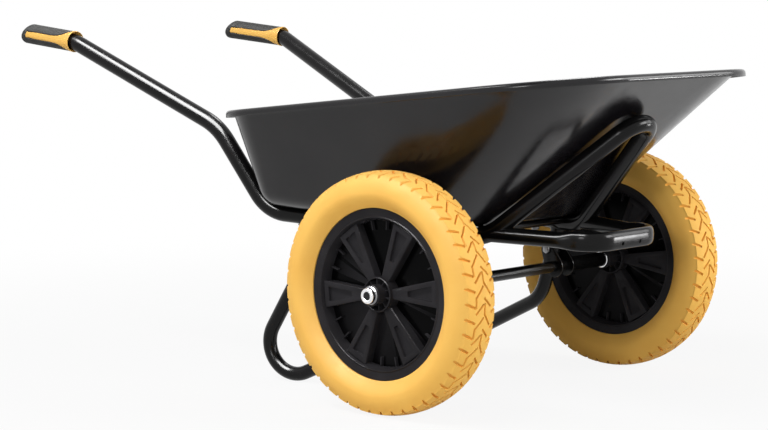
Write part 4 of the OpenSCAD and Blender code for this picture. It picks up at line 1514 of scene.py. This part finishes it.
@dataclass
class AxleSet:
    """Axle bar with its spacers, washers, caps, cheek plates and their bolts.

    A washer is given by its thickness and the width of its broken edges, and the spacer by its two radii
    and that width. The cap's section is its skirt, a round shoulder and a sunk middle.
    """

    wheel_r: float = 200.0
    axle_r: float = 10.0
    axle_edge: float = 0.8
    half: float = 373.9
    hub_start: float = 273.5
    hub_end: float = 365.5
    play: float = 0.4
    plate_t: float = 5.0
    plate_rim: float = 9.0
    plate_end_r: float = 13.0
    plate_edge: float = 0.9
    plate_angle: float = 1.0
    plate_steps: tuple[int, int] = (40, 24)
    bolt_up: float = 30.0
    bolt_past: float = 9.4
    lead: float = 4.0
    touch: float = 0.2
    washer_radii: Pair = (10.2, 15.0)
    inner_washer: Pair = (5.0, 0.8)
    outer_washer: Pair = (2.0, 0.4)
    spacer: Triple = (10.1, 13.0, 0.5)
    cap_skirt: tuple[Pair, ...] = ((10.1, 0.0), (13.0, 0.0), (13.4, 0.5))
    cap_shoulder: Pair = (9.8, 5.6)
    cap_shoulder_r: float = 3.6
    cap_shoulder_steps: int = 8
    cap_steps: int = 64
    cap_middle: tuple[Pair, ...] = ((8.2, 9.1), (7.4, 8.6), (6.8, 7.6), (0.0, 7.2), (0.0, 6.6), (10.1, 6.6))
    sunk_r: float = 7.2
    fastener: Fastener = Fastener()

    def along(self, y: float, side: Side) -> Matrix:
        """Where a shape drawn along +Z goes on the axle, y from the middle."""
        return side.mirror @ Matrix.Translation((0.0, y, self.wheel_r)) @ ALONG_Y

    def cheek_ys(self, chassis: Chassis) -> Pair:
        """Returns the inner and the outer face of a leg where its cheek plates lie."""
        reach = chassis.leg_d / 2 / math.cos(chassis.splay) + self.touch
        inner = chassis.side(self.bolt_spot().x + self.lead, 0.0).y - reach
        return (inner, chassis.side(LegLine().front_point().x, 0.0).y + reach)

    def bolt_spot(self) -> Vector:
        """Place of the plate bolt in the side view."""
        line = LegLine()
        way = line.way(Limb.FRONT)
        return line.front_point() + way * (self.bolt_up / way.y)

    def build(self, chassis: Chassis) -> None:
        """Makes all the pieces on the axle.

        Args:
            chassis: The frame whose legs carry the axle.
        """
        shaft = Piece("axle_bar", Body.FRAME, "frame_black", ("axle",))
        shape = bar(0.0, self.axle_r, (-self.half, self.half), self.axle_edge)
        shaft.add(shape, self.along(0.0, Side.LEFT)).finish()
        caps = Piece("axle_domes", Body.FRAME, "bright", ("axle_caps",))
        rings = Piece("bright_washers", Body.FRAME, "bright", ("inner_washers",))
        outer = Piece("outer_rings", Body.FRAME, "zinc", ("outer_washers",))
        bolts = Piece("cheek_bolts", Body.FRAME, "zinc", ("plate_bolts",))
        nuts = Piece("cheek_nuts", Body.FRAME, "zinc", ("plate_nuts",))
        inner_t, inner_edge = self.inner_washer
        outer_t, outer_edge = self.outer_washer
        inner_y, outer_y = self.cheek_ys(chassis)
        first_y = inner_y - self.plate_t
        last_y = outer_y + self.plate_t
        spacer_end = self.hub_start - self.play - inner_t
        washer_start = self.hub_end + self.play
        bolt = self.bolt_spot()
        up = Matrix.Translation((bolt.x, 0.0, bolt.y - self.wheel_r))
        for side in Side:
            cap = turned(self.cap_profile(), self.cap_steps)
            caps.add(cap, self.along(washer_start + outer_t, side))
            rings.add(bar(*self.washer_radii, (0.0, inner_t), inner_edge), self.along(spacer_end, side))
            outer.add(bar(*self.washer_radii, (0.0, outer_t), outer_edge), self.along(washer_start, side))
            word = side.word
            bore, spacer_r, spacer_edge = self.spacer
            spacer = Piece(word + "_spacer_tube", Body.FRAME, "frame_black", (word + "_axle_spacer",))
            tube = bar(bore, spacer_r, (0.0, spacer_end - last_y), spacer_edge)
            spacer.add(tube, self.along(last_y, side)).finish()
            cheeks = Piece(word + "_cheeks", Body.FRAME, "frame_black", (word + "_axle_plates",))
            for y in (first_y, outer_y):
                cheeks.add(self.cheek(), self.along(y, side))
            cheeks.finish()
            bolts.add(self.fastener.bolt(last_y - first_y + self.bolt_past), up @ self.along(first_y, side))
            nuts.add(self.fastener.nut(), up @ self.along(last_y, side))
        # The caps' sunk middle gets a painted dark reflection
        mark_painted_dark(caps.finish(), self.along(0.0, Side.LEFT), self.cap_painted_reflection)
        for piece in (rings, outer, bolts, nuts):
            piece.finish()

    def cap_profile(self) -> list[Pair]:
        """Lists the section of a push-on cap."""
        shoulder = arc(self.cap_shoulder, self.cap_shoulder_r, 0.0, 90.0, self.cap_shoulder_steps)
        return [*self.cap_skirt, *shoulder, *self.cap_middle]

    def cap_painted_reflection(self, r: float, z: float) -> float:
        """Mark of a painted dark reflection at a point of the caps: 1 in the sunk middle, at any height."""
        return 1.0 if r < self.sunk_r else 0.0

    def cheek(self) -> BMesh:
        """Makes one cheek plate about the axle, with its edges rounded and its bolt up the leg."""
        bolt = self.bolt_spot() - Vector((0.0, self.wheel_r))
        r1 = self.axle_r + self.plate_rim
        r2 = self.plate_end_r
        lean = math.degrees(math.atan2(bolt.y, bolt.x))
        wrap = math.degrees(math.acos((r1 - r2) / bolt.length))
        low_steps, high_steps = self.plate_steps
        low = arc((0.0, 0.0), r1, lean + wrap, lean - wrap + 360.0, low_steps)
        high = arc(tuple(bolt), r2, lean - wrap, lean + wrap, high_steps)
        outline = [(x, -y) for x, y in low + high]
        return rounded(slab(outline, 0.0, self.plate_t), self.plate_edge, least=self.plate_angle)


@dataclass
class TrayBolts:
    """Domed bolts through the tray and the rails, with their washers and nuts."""

    top: float = 316.0
    rail_low: float = 284.0
    gaps: Pair = (52.3, 62.6)
    tail_past: float = 3.0
    fastener: Fastener = Fastener()

    def build(self, chassis: Chassis) -> None:
        """Makes the bolts, the washers and the nuts.

        Args:
            chassis: The frame that they go through.
        """
        corners = LegLine(raise_by=0.0).corners(chassis)
        places = [corners[0][0] - self.gaps[0], corners[3][0] - self.gaps[1]]
        bolts = Piece("tray_dome_bolts", Body.FRAME, "zinc", ("tray_bolts",))
        rings = Piece("tray_rings", Body.FRAME, "zinc", ("tray_washers",))
        nuts = Piece("tray_hex_nuts", Body.FRAME, "zinc", ("tray_nuts",))
        thick = self.fastener.washer_t
        nut_h = self.fastener.nut_h
        tail = self.top - self.rail_low + thick + nut_h + self.tail_past
        for side in Side:
            for x in places:
                sag = chassis.sag(x)
                over = side.mirror @ Matrix.Translation(chassis.side(x, self.top - sag))
                under = side.mirror @ Matrix.Translation(chassis.side(x, self.rail_low - thick - sag))
                bolts.add(self.fastener.dome_bolt(tail), over)
                rings.add(self.fastener.washer(), under)
                nuts.add(self.fastener.nut(), under @ Matrix.Translation(UP * -nut_h))
        for piece in (bolts, rings, nuts):
            piece.finish()


@dataclass
class Welds:
    """Weld beads where the legs meet the rails."""

    bead_r: float = 2.3
    ripple: float = 0.3
    ripple_points: int = 4
    sides: int = 10
    points: int = 48
    rail_r: float = 15.0

    def bead(self, path: list[Vector]) -> BMesh:
        """Sweeps a rippled bead along a closed path.

        Args:
            path: Points along the bead.

        Returns:
            The bead.
        """
        bm = bmesh.new()
        rows: list[list[BMVert]] = []
        for i, spot in enumerate(path):
            heading = path[(i + 1) % len(path)] - path[i - 1]
            place = Matrix.Translation(spot) @ heading.to_track_quat("Z", "Y").to_matrix().to_4x4()
            r = self.bead_r + self.ripple * math.cos(i * math.tau / self.ripple_points)
            made = bmesh.ops.create_circle(bm, cap_ends=False, segments=self.sides, radius=r, matrix=place)
            rows.append(list(made["verts"]))
        count = self.sides
        for one, two in zip(rows, rows[1:] + rows[:1]):
            shift = min(range(count), key=lambda k: (two[k].co - one[0].co).length)
            for k in range(count):
                bm.faces.new((one[k], one[(k + 1) % count], two[(k + 1 + shift) % count],
                              two[(k + shift) % count]))
        bmesh.ops.recalc_face_normals(bm, faces=bm.faces)
        return bm

    def round_leg(self, chassis: Chassis, top: Vector, below: Vector) -> list[Vector]:
        """Finds the line where a leg runs into the rail.

        Args:
            chassis: The frame.
            top: Leg's end on the middle of the rail.
            below: Corner of the leg below it.

        Returns:
            Points once round the leg.
        """
        up = (top - below).normalized()
        rail = (chassis.on_rail(1.0) - chassis.on_rail(0.0)).normalized()
        turn = up.to_track_quat("Z", "Y").to_matrix()
        path = []
        for k in range(self.points):
            angle = math.tau * k / self.points
            spoke = turn @ Vector((math.cos(angle), math.sin(angle), 0.0)) * (chassis.leg_d / 2)
            across = spoke - rail * spoke.dot(rail)
            rise = up - rail * up.dot(rail)
            a = rise.dot(rise)
            b = 2 * across.dot(rise)
            c = across.dot(across) - self.rail_r ** 2
            path.append(top + spoke + up * ((-b - math.sqrt(max(b * b - 4 * a * c, 0.0))) / (2 * a)))
        return path

    def build(self, chassis: Chassis) -> None:
        """Makes all the beads as one piece.

        Args:
            chassis: The frame.
        """
        piece = Piece("weld_beads", Body.FRAME, "frame_black")
        points = chassis.leg_points()
        for side in Side:
            for top, below in ((points[0], points[1]), (points[3], points[2])):
                piece.add(self.bead(self.round_leg(chassis, top, below)), side.mirror)
        piece.finish()


@dataclass
class Grip:
    """Two-colour handle grip: a yellow sleeve with a strip down each side, and a soft black cover.

    Points of the collar's edges are given as distances inside its radius and from its nearer end. The rolled
    edge of a patch is given as angles from its side and drops below its skin. The rows that close the end of
    the strip are given as distances past it, drops below its skin and angles that it narrows by.
    """

    length: float = 150.0
    past_tube: float = 10.0
    bore_r: float = 15.1
    skin_r: float = 18.9
    barrel_r: float = 17.8
    barrel_short: float = 40.0
    collar_r: float = 19.7
    collar_end: float = 5.0
    collar_front: tuple[Pair, ...] = ((1.0, 0.5), (0.7, 0.0), (0.3, 0.1), (0.0, 0.8))
    collar_back: tuple[Pair, ...] = ((0.0, 1.5), (0.4, 0.4), (0.9, 0.0))
    sleeve_steps: int = 72
    hollow: float = 10.0
    hollow_edge: Pair = (1.3, 0.5)
    strip: float = 13.0
    strip_end: float = 19.0
    strip_close: tuple[Triple, ...] = ((0.8, 0.3, 0.03), (1.2, 1.2, 0.06))
    strip_sink: float = 0.2
    lap: float = 1.0
    lap_len: float = 12.0
    lap_sink: float = 0.6
    flare_len: float = 64.0
    flare_power: float = 4.0
    border: float = 0.9
    cover_gap: float = 0.3
    cover_lap: float = 0.01
    cover_joins: Pair = (0.4, 4.0)
    end_r: float = 9.0
    end_steps: int = 8
    end_radii: Pair = (5.0, 0.5)
    slant: float = 19.0
    slant_len: float = 44.0
    slant_power: float = 1.3
    slant_rise: float = 1.7
    rolled: tuple[Pair, ...] = ((0.0, 2.4), (0.0, 1.0), (0.018, 0.25))
    roll: float = 0.045
    least_half: float = 0.06
    least_r: float = 0.2
    most_drop: float = 0.4
    rows: int = 34
    row_power: float = 1.5
    columns: int = 30
    smooth_deg: float = 50.0

    def place(self, chassis: Chassis, side: Side) -> Matrix:
        """Where the grip goes: +Z runs to its closed end, +Y to its top."""
        points = chassis.side_points()
        out = (points[0] - points[1]).normalized()
        start = points[0] + out * (self.past_tube - self.length)
        up = (UP - out * out.z).normalized()
        turn = Matrix((up.cross(out), up, out)).transposed().to_4x4()
        return side.mirror @ Matrix.Translation(start) @ turn

    def build(self, chassis: Chassis) -> None:
        """Makes both grips.

        Args:
            chassis: The frame whose tube carries them.
        """
        for side in Side:
            place = self.place(chassis, side)
            word = side.word
            sleeve = Piece(word + "_grip_sleeve", Body.FRAME, "grip_yellow", (word + "_grip_core",),
                           self.smooth_deg)
            sleeve.add(turned(self.sleeve_profile(), self.sleeve_steps), place)
            cover = Piece(word + "_grip_skin", Body.FRAME, "grip_black", (word + "_grip_cover",),
                          self.smooth_deg)
            for turn in (0.0, math.pi):
                cover.add(self.patch(self.cover_rows(), math.pi / 2 + turn), place)
                sleeve.add(self.patch(self.strip_rows(), turn), place)
            sleeve.finish()
            cover.finish()

    def sleeve_profile(self) -> list[Pair]:
        """Lists the sleeve's section: a collar, hollow in front, and a plain barrel under the cover."""
        stop = self.length - self.barrel_short
        wider, sooner = self.hollow_edge
        front = [(self.collar_r - inside, z) for inside, z in self.collar_front]
        back = [(self.collar_r - inside, self.collar_end - z) for inside, z in self.collar_back]
        return [(self.bore_r, self.hollow), (self.bore_r + wider, self.hollow - sooner), *front, *back,
                (self.barrel_r, self.collar_end), (self.barrel_r, stop), (self.bore_r, stop)]

    def half_angle(self, z: float) -> float:
        """Half the angle that the cover takes up over the top, at a distance from the front."""
        narrow = math.asin(self.strip / 2 / self.skin_r)
        if z > self.length - self.strip_end:
            return math.pi / 2
        flare = max(0.0, 1.0 - (z - self.collar_end) / self.flare_len)
        return (math.pi / 2 - narrow) * (1.0 - flare ** self.flare_power)

    def runs(self, start: float, stop: float) -> list[float]:
        """Lists the distances of rows from start to stop, closer together by the collar."""
        return [start + (stop - start) * (k / self.rows) ** self.row_power for k in range(self.rows + 1)]

    def cover_rows(self) -> list[Triple]:
        """Lists the cover's rows as distance, radius and half angle, from the collar to the end's middle."""
        stop = self.length - self.strip_end
        bend = self.length - self.end_r
        whole = math.pi / 2 + self.cover_lap
        start = self.collar_end + self.cover_gap
        rows = [(z, self.skin_r, self.half_angle(z)) for z in self.runs(start, stop)]
        rows += [(z, self.skin_r, whole) for z in (*(stop + join for join in self.cover_joins), bend)]
        curve = arc((self.skin_r - self.end_r, bend), self.end_r, 0.0, 90.0, self.end_steps)
        rows += [(z, r, whole) for r, z in curve[1:]]
        return rows + [(self.length, r, whole) for r in self.end_radii]

    def strip_rows(self) -> list[Triple]:
        """Lists the rows of the yellow strip, from the collar to its squared end."""
        stop = self.length - self.strip_end - self.border
        rows = []
        for z in self.runs(self.collar_end - self.lap, stop):
            near = max(0.0, 1.0 - (z - self.collar_end) / self.lap_len)
            r = self.skin_r - self.strip_sink + (self.collar_r - self.skin_r - self.lap_sink) * near ** 2
            half = math.pi / 2 - self.half_angle(max(z, self.collar_end)) - self.border / self.skin_r
            rows.append((z, r, half))
        half = rows[-1][2]
        for past, drop, less in self.strip_close:
            rows.append((stop + past, self.skin_r - drop, half - less))
        return rows

    def span(self, half: float) -> list[Pair]:
        """Lists the points of one row of a patch.

        Args:
            half: Half the angle that the row takes up.

        Returns:
            The angle from its middle and the drop below the skin of each point.
        """
        reach = half - self.roll
        flat = [2 * reach * k / self.columns - reach for k in range(self.columns + 1)]
        first = [(-half + angle, drop) for angle, drop in self.rolled]
        last = [(half - angle, drop) for angle, drop in reversed(self.rolled)]
        return [*first, *((angle, 0.0) for angle in flat), *last]

    def patch(self, rows: list[Triple], facing: float) -> BMesh:
        """Makes a patch of skin with rolled edges.

        Args:
            rows: Distance, radius and half angle of each row.
            facing: Angle round the grip that it faces.

        Returns:
            The patch, open underneath, where the sleeve lies.
        """
        bm = bmesh.new()
        grid = []
        for z, r, half in rows:
            row = []
            late = max(0.0, 1.0 - (self.length - z) / self.slant_len)
            for angle, drop in self.span(half):
                turn = facing + angle * min(1.0, half / self.least_half)
                depth = max(r - min(drop, r * self.most_drop), self.least_r)
                high = ((1.0 + math.sin(turn)) / 2) ** self.slant_rise * depth / self.skin_r
                row.append(bm.verts.new((depth * math.cos(turn), depth * math.sin(turn),
                                         z - self.slant * high * late ** self.slant_power)))
            grid.append(row)
        for one, two in zip(grid, grid[1:]):
            for k in range(len(one) - 1):
                bm.faces.new((one[k], one[k + 1], two[k + 1], two[k]))
        bmesh.ops.recalc_face_normals(bm, faces=bm.faces)
        middle = bm.faces[len(bm.faces) // 2]
        if middle.normal.dot(Vector((math.cos(facing), math.sin(facing), 0.0))) < 0:
            bmesh.ops.reverse_faces(bm, faces=bm.faces)
        return bm


# Stage


@dataclass(frozen=True)
class Lamp:
    """A soft box: where it stands, the point that it looks at, its sizes in metres and its power in watts."""

    name: str
    place: Triple
    aim: Triple
    size: Pair
    power: float

    def build(self) -> None:
        """Adds the lamp."""
        data = bpy.data.lights.new(self.name, "AREA")
        data.shape = "RECTANGLE"
        data.size, data.size_y = self.size
        data.energy = self.power
        obj = bpy.data.objects.new(self.name, data)
        obj.location = self.place
        obj.rotation_euler = (Vector(self.aim) - Vector(self.place)).to_track_quat("-Z", "Y").to_euler()
        bpy.context.scene.collection.objects.link(obj)


@dataclass(frozen=True)
class Card:
    """A white card that only reflections see, for the highlights on the gloss paint.

    It has a place, a point that it faces, two sizes in metres and a brightness, where 1 is white. A soft card
    fades from its middle to its edge.
    """

    name: str
    place: Triple
    aim: Triple
    size: Pair
    strength: float
    soft: bool = False

    def fade(self, tree: bpy.types.NodeTree) -> Socket:
        """Adds nodes for the brightness of a soft card.

        Args:
            tree: Node tree to add them to.

        Returns:
            The brightness.
        """
        off = tree.nodes.new("ShaderNodeVectorMath")
        off.operation = "DISTANCE"
        off.inputs[1].default_value = self.place
        tree.links.new(tree.nodes.new("ShaderNodeTexCoord").outputs["Object"], off.inputs[0])
        return Studio.ramp(tree, off.outputs["Value"], (0.0, min(self.size) / 2), (self.strength, 0.0))

    def build(self) -> None:
        """Adds the card."""
        turn = (Vector(self.aim) - Vector(self.place)).to_track_quat("-Z", "Y").to_matrix().to_4x4()
        spot = Matrix.Translation(self.place) @ turn @ Matrix.Diagonal((*self.size, 1.0, 1.0))
        shape = bmesh.new()
        bmesh.ops.create_grid(shape, x_segments=1, y_segments=1, size=0.5, matrix=spot)
        obj = loose_object(shape, self.name)
        material = bpy.data.materials.new(self.name)
        material.use_nodes = True
        tree = material.node_tree
        glow = tree.nodes.new("ShaderNodeEmission")
        glow.inputs["Strength"].default_value = self.strength
        if self.soft:
            tree.links.new(self.fade(tree), glow.inputs["Strength"])
        tree.links.new(glow.outputs[0], tree.nodes["Material Output"].inputs["Surface"])
        obj.data.materials.append(material)
        obj.visible_camera = False
        obj.visible_diffuse = False
        obj.visible_shadow = False

    def spare(self, piece: str) -> None:
        """Keeps the card's reflection off a piece.

        Args:
            piece: Name of the piece that doesn't mirror it.
        """
        group = bpy.data.collections.new(f"{self.name}_spares")
        group.objects.link(bpy.data.objects[piece])
        group.collection_objects[0].light_linking.link_state = "EXCLUDE"
        bpy.data.objects[self.name].light_linking.receiver_collection = group


@dataclass
class Studio:
    """Floor, light and camera."""

    camera_mm: Triple = (2358.985, -3046.866, 699.709)
    forward: Triple = (-0.6526, 0.7507, -0.1028)
    focal_px: float = 2235.82
    frame_px: float = 768.0
    sensor_mm: float = 36.0
    sight: float = 100.0
    floor_reach: float = 40.0
    floor_tone: float = 0.6
    floor_rough: float = 0.9
    floor_glow: float = 0.9
    fade_reach: Pair = (0.6, 2.2)
    sky: float = 0.38
    lamps: tuple[Lamp, ...] = (
        Lamp("key_box", place=(-0.4, -1.9, 3.0), aim=(0.0, 0.0, 0.3), size=(3.2, 0.6), power=80.0),
        Lamp("near_box", place=(1.5, -3.4, 1.1), aim=(0.3, -0.3, 0.2), size=(0.9, 0.7), power=25.0),
        Lamp("nose_box", place=(3.2, 1.5, 1.4), aim=(0.3, 0.0, 0.3), size=(1.4, 1.0), power=70.0))
    key_card: Card = Card(
        "key_card", place=(0.1, -1.9, 3.0), aim=(-0.2, -0.2, 0.4), size=(2.8, 2.1), strength=60.0)
    cards: tuple[Card, ...] = (
        Card("nose_card", place=(2.3, 2.3, 1.2), aim=(0.5, 0.0, 0.3), size=(1.3, 1.1), strength=6.0),
        Card("low_card", place=(1.45, 1.16, 0.25), aim=(0.75, 0.0, 0.27), size=(0.34, 0.34), strength=56.0,
             soft=True),
        Card("back_card", place=(-0.6, 1.8, 3.0), aim=(0.7, 0.0, 0.5), size=(0.7, 1.0), strength=15.0))

    @staticmethod
    def ramp(tree: bpy.types.NodeTree, value: Socket, reach: Pair, ends: Pair) -> Socket:
        """Adds a node that maps a range to another, with eased ends.

        Args:
            tree: Node tree to add it to.
            value: Value to map.
            reach: Ends of the range that goes in.
            ends: Ends of the range that comes out.

        Returns:
            The mapped value.
        """
        node = tree.nodes.new("ShaderNodeMapRange")
        node.interpolation_type = "SMOOTHSTEP"
        for key, number in zip(RANGE_KEYS, (*reach, *ends)):
            node.inputs[key].default_value = number
        tree.links.new(value, node.inputs["Value"])
        return node.outputs["Result"]

    @staticmethod
    def sums(tree: bpy.types.NodeTree, operation: str, one: Socket, two: Socket) -> Socket:
        """Adds a node that works out a number from two others.

        Args:
            tree: Node tree to add it to.
            operation: What it works out.
            one: First number.
            two: Second number.

        Returns:
            The number.
        """
        node = tree.nodes.new("ShaderNodeMath")
        node.operation = operation
        tree.links.new(one, node.inputs[0])
        tree.links.new(two, node.inputs[1])
        return node.outputs[0]

    @staticmethod
    def mixed(tree: bpy.types.NodeTree, share: Socket, one: Socket, two: Socket, out: str) -> None:
        """Adds a node that mixes two shaders, and joins it to the output.

        Args:
            tree: Node tree to add it to.
            share: Share of the second shader.
            one: First shader.
            two: Second shader.
            out: Name of the output node.
        """
        mix = tree.nodes.new("ShaderNodeMixShader")
        for number, socket in enumerate((share, one, two)):
            tree.links.new(socket, mix.inputs[number])
        tree.links.new(mix.outputs[0], tree.nodes[out].inputs["Surface"])

    def floor(self) -> None:
        """Makes the white floor, which keeps the shadow."""
        bm = bmesh.new()
        bmesh.ops.create_grid(bm, x_segments=1, y_segments=1, size=self.floor_reach)
        obj = loose_object(bm, "floor")
        n = Nodes("floor_white")
        n.set(Base_Color=(self.floor_tone, self.floor_tone, self.floor_tone, 1.0), Roughness=self.floor_rough,
              Specular_IOR_Level=0.0)
        glow = n.tree.nodes.new("ShaderNodeEmission")
        far = n.tree.nodes.new("ShaderNodeVectorMath")
        far.operation = "LENGTH"
        n.link(n.place, far.inputs[0])
        fade = self.ramp(n.tree, far.outputs["Value"], self.fade_reach, (self.floor_glow, 1.0))
        share = self.sums(n.tree, "MULTIPLY", self.background_rays(n.tree), fade)
        self.mixed(n.tree, share, n.shader.outputs[0], glow.outputs[0], "Material Output")
        obj.data.materials.append(n.material)

    def background_rays(self, tree: bpy.types.NodeTree) -> Socket:
        """Adds nodes that tell which rays see the background: from the camera, reflected or through glass.

        Args:
            tree: Node tree to add them to.

        Returns:
            A value of 1 for these rays and 0 for others.
        """
        path = tree.nodes.new("ShaderNodeLightPath")
        value = path.outputs["Is Camera Ray"]
        for ray in ("Is Glossy Ray", "Is Transmission Ray"):
            value = self.sums(tree, "MAXIMUM", value, path.outputs[ray])
        return value

    def world(self) -> None:
        """Lights the scene with a plain sky that looks white."""
        world = bpy.data.worlds.new("studio")
        bpy.context.scene.world = world
        world.use_nodes = True
        tree = world.node_tree
        base = tree.nodes["Background"]
        white = tree.nodes.new("ShaderNodeBackground")
        for node, strength in ((base, self.sky), (white, 1.0)):
            node.inputs["Color"].default_value = (1.0, 1.0, 1.0, 1.0)
            node.inputs["Strength"].default_value = strength
        self.mixed(tree, self.background_rays(tree), base.outputs[0], white.outputs[0], "World Output")

    def camera(self) -> None:
        """Sets the camera where the photograph was taken."""
        data = bpy.data.cameras.new("camera")
        data.sensor_fit = "HORIZONTAL"
        data.sensor_width = self.sensor_mm
        data.lens = self.sensor_mm * self.focal_px / self.frame_px
        data.clip_end = self.sight
        obj = bpy.data.objects.new("camera", data)
        ahead = Vector(self.forward).normalized()
        right = ahead.cross(UP).normalized()
        turn = Matrix((right, right.cross(ahead), -ahead)).transposed().to_4x4()
        obj.matrix_world = Matrix.Translation(TO_FRAME @ Vector(self.camera_mm)) @ turn
        bpy.context.scene.collection.objects.link(obj)
        bpy.context.scene.camera = obj

    def build(self) -> None:
        """Makes the stage."""
        bpy.context.scene.view_settings.view_transform = "Standard"
        self.camera()
        self.floor()
        self.world()
        for light in (*self.lamps, self.key_card, *self.cards):
            light.build()


def dress_nodes() -> None:
    """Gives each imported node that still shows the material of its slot."""
    slots = {part["node"]: part["material_slot"] for part in frame["record"]["subparts"]}
    for name, obj in frame["nodes"].items():
        obj.data.materials.clear()
        obj.data.materials.append(Wardrobe.material(slots[name]))


def main() -> None:
    """Builds the barrow's pieces in order, and the stage."""
    logging.basicConfig(level=logging.INFO, format="%(message)s")
    studio = Studio()
    studio.build()
    dress_nodes()
    chassis = Chassis()
    chassis.build_tube()
    chassis.build_legs()
    TipBar().build(chassis)
    Welds().build(chassis)
    Tray().build(chassis)
    studio.key_card.spare("tray_pan")
    TrayBolts().build(chassis)
    Wheel().build()
    AxleSet().build(chassis)
    Grip().build(chassis)


if __name__ == "__main__":
    main()
